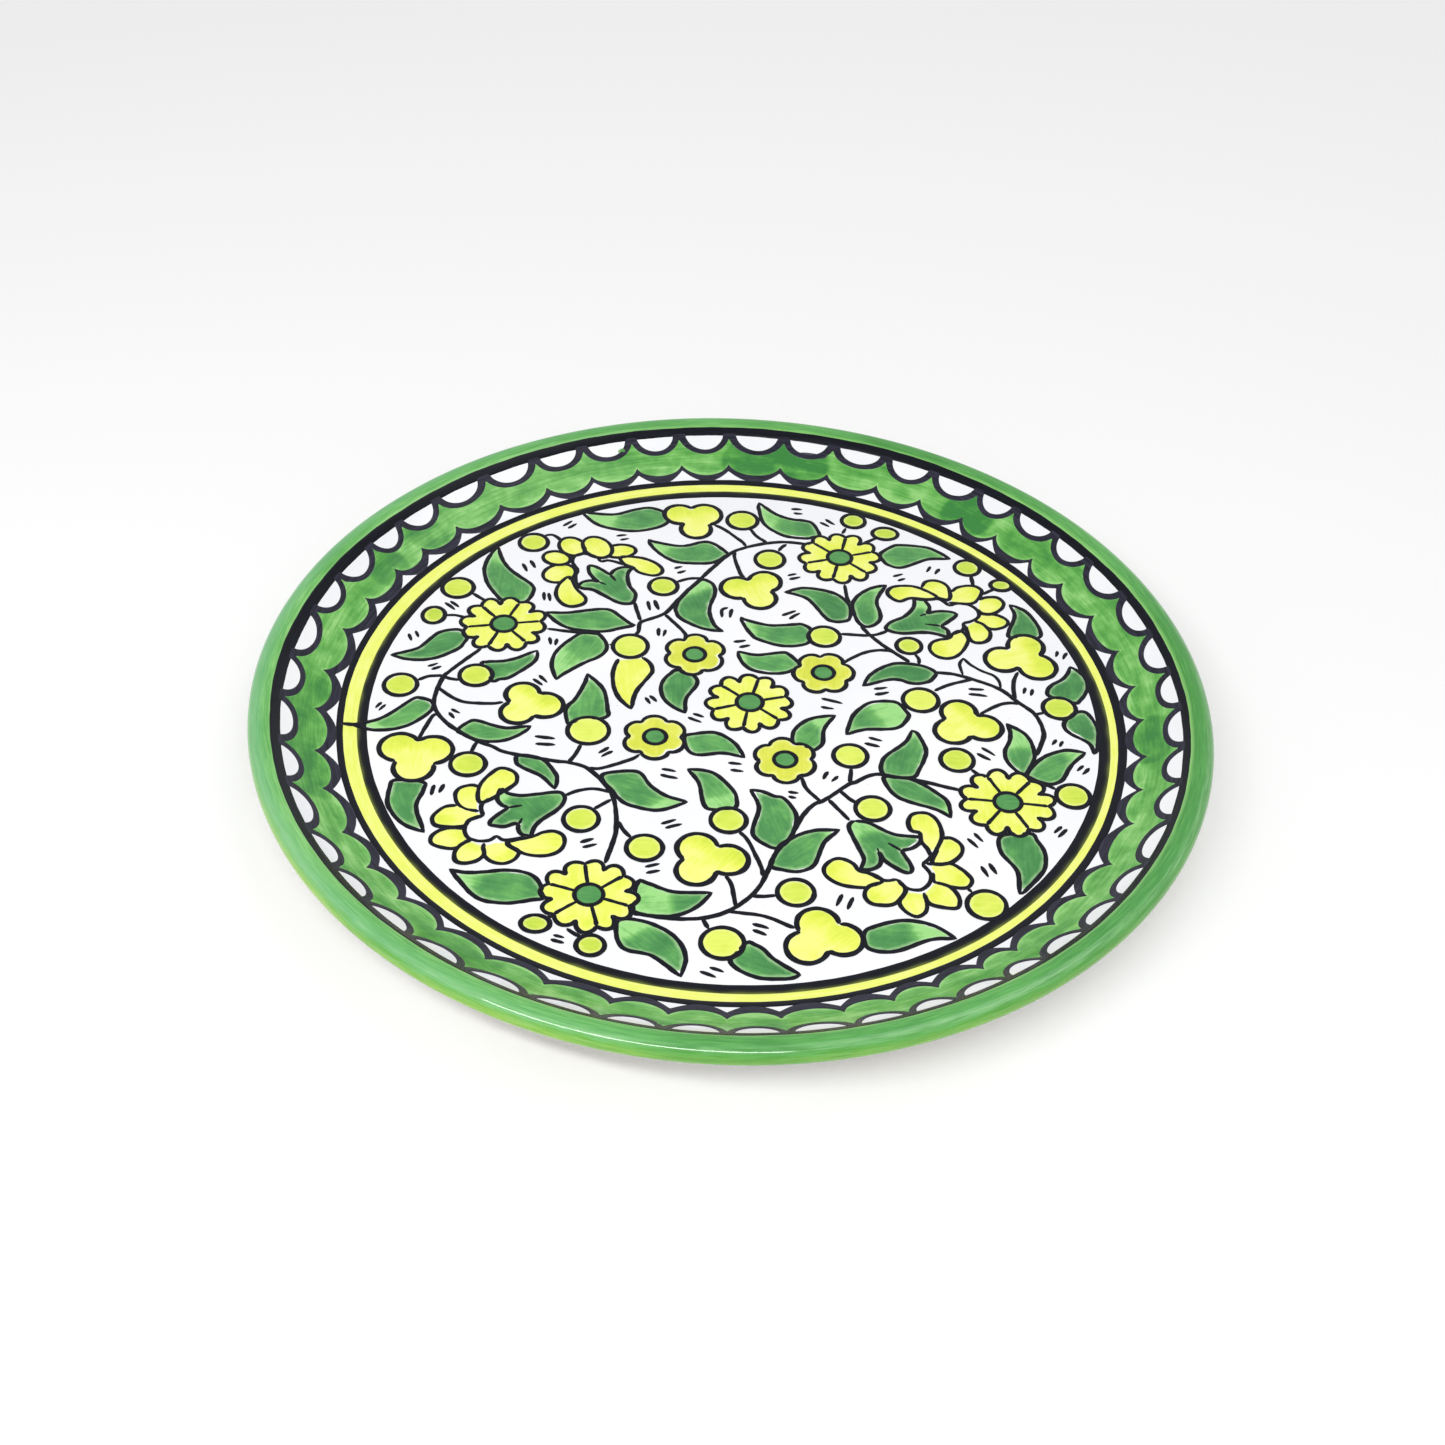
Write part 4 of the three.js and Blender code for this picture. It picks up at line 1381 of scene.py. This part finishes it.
def draw_tulips(paint, lines):
    for seed, sections in enumerate(motifs_of(TULIPS), TULIP_SEED):
        parts = cornered(sections)
        loop = even(np.vstack(parts + [parts[0][:1]]))
        tip = parts[0][0]
        fill(paint, loop, (tip, 2 * loop.mean(0) - tip), leaf_tone(0.25, 0.8, seed), seed, UPPER_LAYER)
        for number, line in enumerate(parts):
            stroke(lines, line, TULIP_LINE, seed * 9 + number, lift=UPPER_LAYER)
    for seed, line in enumerate(lines_of(TULIP_NOTCHES), NOTCH_SEED):
        stroke(lines, smooth(line), NOTCH_LINE, seed, lift=UPPER_LAYER)


# ---------------------------------------------------------------------------
# Stems and ticks
# ---------------------------------------------------------------------------

MAIN_STEMS = """
22.8 80.3, 12 80.8, 1 76.8, -4.5 71.5, -13.5 57, -17.8 49.5, -21.5 42.5, -27.3 38.5, -28.8 37, -29 33, -30
31.5 / -74.5 22, -82 11.5, -83.8 8, -85 1, -84.5 -5, -80.5 -11, -73 -17, -66 -20.5, -62 -22.5, -49 -25,
-44.5 -25.5, -39 -27.5, -33.5 -34, -31 -39.3, -29.5 -51, -31.5 -63.5 / 64 -29.3, 51 -25.8, 46.5 -25.3, 41.5
-24.3, 38 -25.5, 35 -28, 33 -29, 26.5 -35.5, 23.5 -37.5, 20.5 -42, 17 -51, 14 -55, 9.5 -69, 4 -76.5, -3 -81,
-12 -82.3, -20.5 -81.3, -23 -80.3 / 59 20.8, 66 19.8, 77 14.8, 82.5 9, 87 4, 88.8 -3, 88.3 -7, 86 -13.5 /
37.5 40.5, 40.5 36, 45.5 30.5, 51.5 25 / -56 32.5, -46.5 31.5, -40.5 31.5"""

SIDE_STEMS = """
-8.3 88.3, -5 86, 0.5 80.3, 1.8 78 / 1.5 87.5, 3 87, 5 83.5, 8.3 80.4 / 12.3 76.3, 13 78, 14.5 79.8 / -1.3
74.5, -1.5 72, 0.3 64.5, 1.8 61.5 / -18.8 58, -15.5 59.8, -11.3 60.5 / -21.5 41.8, -15.5 34, -14.8 30.8 /
-31 47, -30 43, -28.8 38.5 / -37 26.5, -36 26.4, -34.8 26.3 / 33.3 89.8, 32.3 87 / 43.5 85.8, 38.8 82.3 /
32.8 60.5, 33.3 55, 34 51.5 / -61.3 78.5, -59 79, -57 77.5, -56.2 76 / -80.2 47.7, -76 44.5 / -87 36.5, -84
36.8, -81 36 / 72.1 68, 72.4 63 / 79 62, 75 59 / 31.3 36.5, 40.5 36.5, 45.3 38.8 / 32 22.8, 34 25, 38 28,
41.5 29.5, 45.3 29.8, 47 29 / 53.3 28.8, 54.3 26.5, 54.3 24.3 / -90.8 6.5, -88 8.3, -84 9 / -84 8.8, -82
7.8, -79 7.3 / -84.5 4.5, -83.5 2.5, -77 -2, -69 -2.3, -65.5 -1.5 / -83.3 -7.8, -84.8 -9.5, -87.2 -19.3 /
-70.5 -18.5, -71.3 -20.5, -71.8 -23 / -41.8 -17.8, -42.8 -21.5, -44.5 -25.3 / -25.3 -20.8, -27.5 -23, -35
-27, -39 -27.5 / -44.3 -38.8, -41.5 -36.8, -37 -35.5, -32 -36.5 / -36 -43.3, -31.8 -39.5 / -25.3 -53.8,
-27.5 -51, -29 -47.8 / 33.8 -22.5, 33.6 -25.5, 33.3 -28 / 19.8 -26.5, 21.5 -31.5, 25.5 -36.5 / 30.5 -31.5,
33 -34.5, 35.5 -36.5 / 27.5 -35.5, 30.5 -39.5, 33 -43 / 3.5 -49.5, 6 -53, 9.5 -62, 10 -65.5 / 0.3 -66, 2
-69.5, 3.3 -77 / 13.8 -72.3, 10.5 -72.9, 7.5 -73 / 0.5 -78.8, 3 -79, 11 -80, 18.5 -83.5 / -5 -81.8, -3.5
-85 / 67.3
-20.5, 69.5 -22.8, 71.3 -24.3 / 90.3 -27, 88.5 -25.8, 87 -25.5 / 64.8 -67.8, 63.8 -66.5 / -45 -84.8, -43.5
-82.8 / -39.3 -87.5, -37 -89.3, -35.5 -90 / 70 18.5, 63 15.5, 58.5 12.5 / 83.3 22.5, 82 19, 81.5 15, 81.8
10.5 / 71 3, 76.5 7.3, 80 8.5, 82.8 8.4 / 89.5 5, 87 4"""

# Short strokes in pairs between the motifs
TICKS = """
-66.6 63.5, -65 59.8/-64.4 65.3, -62.6 61.8/-58.8 49.8, -58.3 46/-57.3 49.5, -56.5 45.8/-87.8 42.5, -84.5
39.5/-86.3 43.3, -83.5 40.8/-56 84, -53.5 86.8/-54.3 82.8, -52 85.4/-38.8 80, -35.8 80.8/-37.5 78, -35 79/16
98.8, 19.3 98.8/16.8 96.8, 19.5 96.5/27 94.1, 29.8 91.5/25.2 92.3, 28 90.3/59.5 71.8, 58.3 69/62.3 70.8,
60.9 68.1/47.9 65.9, 50.8 67.3/49.3 63.8, 51.4 65.1/15.3 63.8, 17.8 64.9/15.8 62, 19 63.4/-19.8 64.8, -17.6
65.9/-18.8 62.5, -16.4 63.9/-27 47.8, -26.1 43.5/-25 48.4, -23.6 44/-2.8 46.5, -4.5 45.3, -4.4 41.8/-1.5
45.9, -2 41.8/13.8 44, 17.8 46.6/16 42.5, 19 45.5/-96.5 27, -95.3 24.1/-94.6 28.5, -93.5 25.8/-88.8 12.8,
-86.2 14.3/-87.5 11.4, -85.1 13/-57.8 9.3, -55 6.8/-56.3 11, -53.8 8.1/-55 28.5, -54.4 25.3/-52.8 28, -53
25.1/-54.8 -15.3, -49.3 -15.9/-54.3 -18.4, -49 -18.5/-79.5 -5.4, -77.1 -7/-80 -7, -78.4 -9.3/-99.8 -4,
-100.9 -6.4/-98.5 -4.9, -99.9 -7.4/-23 35.1, -22.9 31.6/-21 34.5, -21.5 31.5/-25 3.4, -23.5 0.9/-23.8 4.3,
-21.8 1.9/-11 -2.6, -8 -3.8/-12.3 -4.3, -8.6 -6.1/-0.4 30.4, 3 31.3/1.3 28, 4.3 29.1/25.7 6.5, 31.5 4.9/25.5
2.9, 29 2.3/-0.3 -22.5, 3.3 -22.8/0.4 -25.3, 3.8 -25.7/-18.6 -26.3, -14.8 -27/-18.8 -28.6, -14.2 -29.8/27.3
-24.3, 26.1 -27.3/30 -25.9, 28.4 -28.1/-34 -18.5, -36.5 -21/-32.8 -20, -35.6 -22.4/16.5 -33, 19.1 -33.3/16.6
-34.9, 18.5 -35.3/68.5 14, 72.8 13.9/68.4 11.6, 73.6 11.1/40.9 12, 44.6 12.8/41.1 9.5, 45 10.8/95.9 33.1,
95.2 30.6/98.6 32.6, 97.3 29.6/85 15.6, 84.3 13/87.1 15.1, 86.4 12.3/39 -9.3, 42.6 -10.4/37.8 -11.8, 41.8
-13/70.8 -11.3, 74.2 -14.3/69.4 -13.8, 72.9 -16.3/92.1 -6.4, 90.9 -8.6/94 -7, 93 -9.3/98.8 -16.8, 97
-19/100.4 -17.8, 98.4 -20.4/-80.1 -37, -80.4 -40.9/-77.6 -36.5, -78.4 -39.8/-38.6 -56.3, -35.3 -54.8/-37.8
-58.1, -34.3 -56.7/-42.5 -89.9, -39.9 -90.6/-43 -91.4, -39.8 -92.4/-2.5 -98.3, 0.9 -99.6/-4.9 -99.8, -1
-101.4/7.9 -82.8, 11.9 -84.1/8 -84.9, 11.4 -86.4/-17.5 -47.9, -13.8 -46/-16.3 -49.4, -12.2 -47.6/-20.8
-64.2, -17.3 -62.9/-20.4 -66.5, -17 -65.4/30.9 -70.9, 29.4 -75/33.7 -71.8, 32.3 -76/64.8 -48.1, 67.4
-51.3/66.8 -45.9, 68.9 -48.9/67.9 -58.3, 69.5 -62/70.1 -57.1, 71.8 -60.8/90.6 -41.7, 88.5 -44.3/91.9 -42.7,
89.4 -45.8"""


def make_stems():
    lines = Coat()
    for seed, line in enumerate(lines_of(MAIN_STEMS), MAIN_STEM_SEED):
        stroke(lines, smooth(line), MAIN_STEM_LINE, seed)
    for seed, line in enumerate(lines_of(SIDE_STEMS), SIDE_STEM_SEED):
        stroke(lines, smooth(line), SIDE_STEM_LINE, seed)
    lines.make("stems", outline_black, BLACK_SLOT)


def make_ticks():
    lines = Coat()
    for seed, line in enumerate(lines_of(TICKS), TICK_SEED):
        chance = random.Random(seed)
        middle = line.mean(0) + np.array([chance.uniform(-TICK_BEND, TICK_BEND) for _ in range(2)])
        bent = line if len(line) > 2 else np.array([line[0], middle, line[1]])
        stroke(lines, smooth(bent), (chance.uniform(*TICK_WIDTHS), *TICK_ENDS), seed)
    lines.make("tick_marks", outline_black, BLACK_SLOT)


# ---------------------------------------------------------------------------
# Studio
# ---------------------------------------------------------------------------

VIEW_ELEVATION = 41.27
VIEW_ROLL = 2.7
VIEW_DISTANCE = 0.6
LENS = 52.3
SENSOR_WIDTH = 36
VIEW_SHIFT = (-0.0067, -0.009)
FLOOR_HALF = 6.0
SKY_STRENGTH = 0.7


def make_camera():
    camera = bpy.data.objects.new("camera", bpy.data.cameras.new("camera"))
    bpy.context.scene.collection.objects.link(camera)
    camera.data.lens = LENS
    camera.data.sensor_width = SENSOR_WIDTH
    camera.data.shift_x, camera.data.shift_y = VIEW_SHIFT
    camera.data.clip_start = 0.01
    rise = math.radians(VIEW_ELEVATION)
    target = Vector((0, 0, WELL_HEIGHT * MM))
    camera.location = target + VIEW_DISTANCE * Vector((0, -math.cos(rise), math.sin(rise)))
    aim = (target - camera.location).to_track_quat("-Z", "Y").to_matrix().to_4x4()
    roll = Matrix.Rotation(math.radians(VIEW_ROLL), 4, "Z")
    camera.matrix_world = Matrix.Translation(camera.location) @ aim @ roll
    bpy.context.scene.camera = camera


def make_floor():
    mesh = bpy.data.meshes.new("floor")
    signs = ((-1, -1), (1, -1), (1, 1), (-1, 1))
    corners = [(x * FLOOR_HALF, y * FLOOR_HALF, 0) for x, y in signs]
    mesh.from_pydata(corners, [], [(0, 1, 2, 3)])
    floor = bpy.data.objects.new("floor", mesh)
    bpy.context.scene.collection.objects.link(floor)
    paint = Paint("floor", 0.9)
    paint.shader.inputs["Specular IOR Level"].default_value = 0.1
    mesh.materials.append(paint.finish(colour(252, 252, 252)))


def make_light(name, place, size, power):
    """A soft light aimed at the middle of the plate."""
    light = bpy.data.lights.new(name, "AREA")
    light.shape = "RECTANGLE"
    light.size, light.size_y = size
    light.energy = power
    lamp = bpy.data.objects.new(name, light)
    bpy.context.scene.collection.objects.link(lamp)
    lamp.location = place
    lamp.rotation_euler = (-Vector(place)).to_track_quat("-Z", "Y").to_euler()


def make_studio():
    make_camera()
    make_floor()
    world = bpy.data.worlds.new("studio")
    world.use_nodes = True
    sky = world.node_tree.nodes["Background"]
    sky.inputs["Color"].default_value = (1, 1, 1, 1)
    sky.inputs["Strength"].default_value = SKY_STRENGTH
    bpy.context.scene.world = world
    bpy.context.scene.view_settings.view_transform = "Standard"
    make_light("high_softbox", (0.5, 0.3, 1.3), (1.0, 0.7), 2.0)
    make_light("front_strip", (-0.17, -0.5, 0.68), (0.75, 0.09), 3.0)


# ---------------------------------------------------------------------------
# The whole plate
# ---------------------------------------------------------------------------

make_studio()
make_dish()
make_rings()
make_border()
make_motif(draw_leaves, "leaf", "_paint", leaf_green, GREEN_SLOT)
make_motif(draw_berries, "berry", "_paint", berry_yellow, YELLOW_SLOT)
make_motif(draw_trefoils, "trefoil", "_paint", petal_yellow, YELLOW_SLOT)
make_flowers()
make_motif(draw_carnations, "carnation", "_petals", petal_yellow, YELLOW_SLOT)
make_motif(draw_tulips, "tulip", "_paint", leaf_green, GREEN_SLOT)
make_stems()
make_ticks()
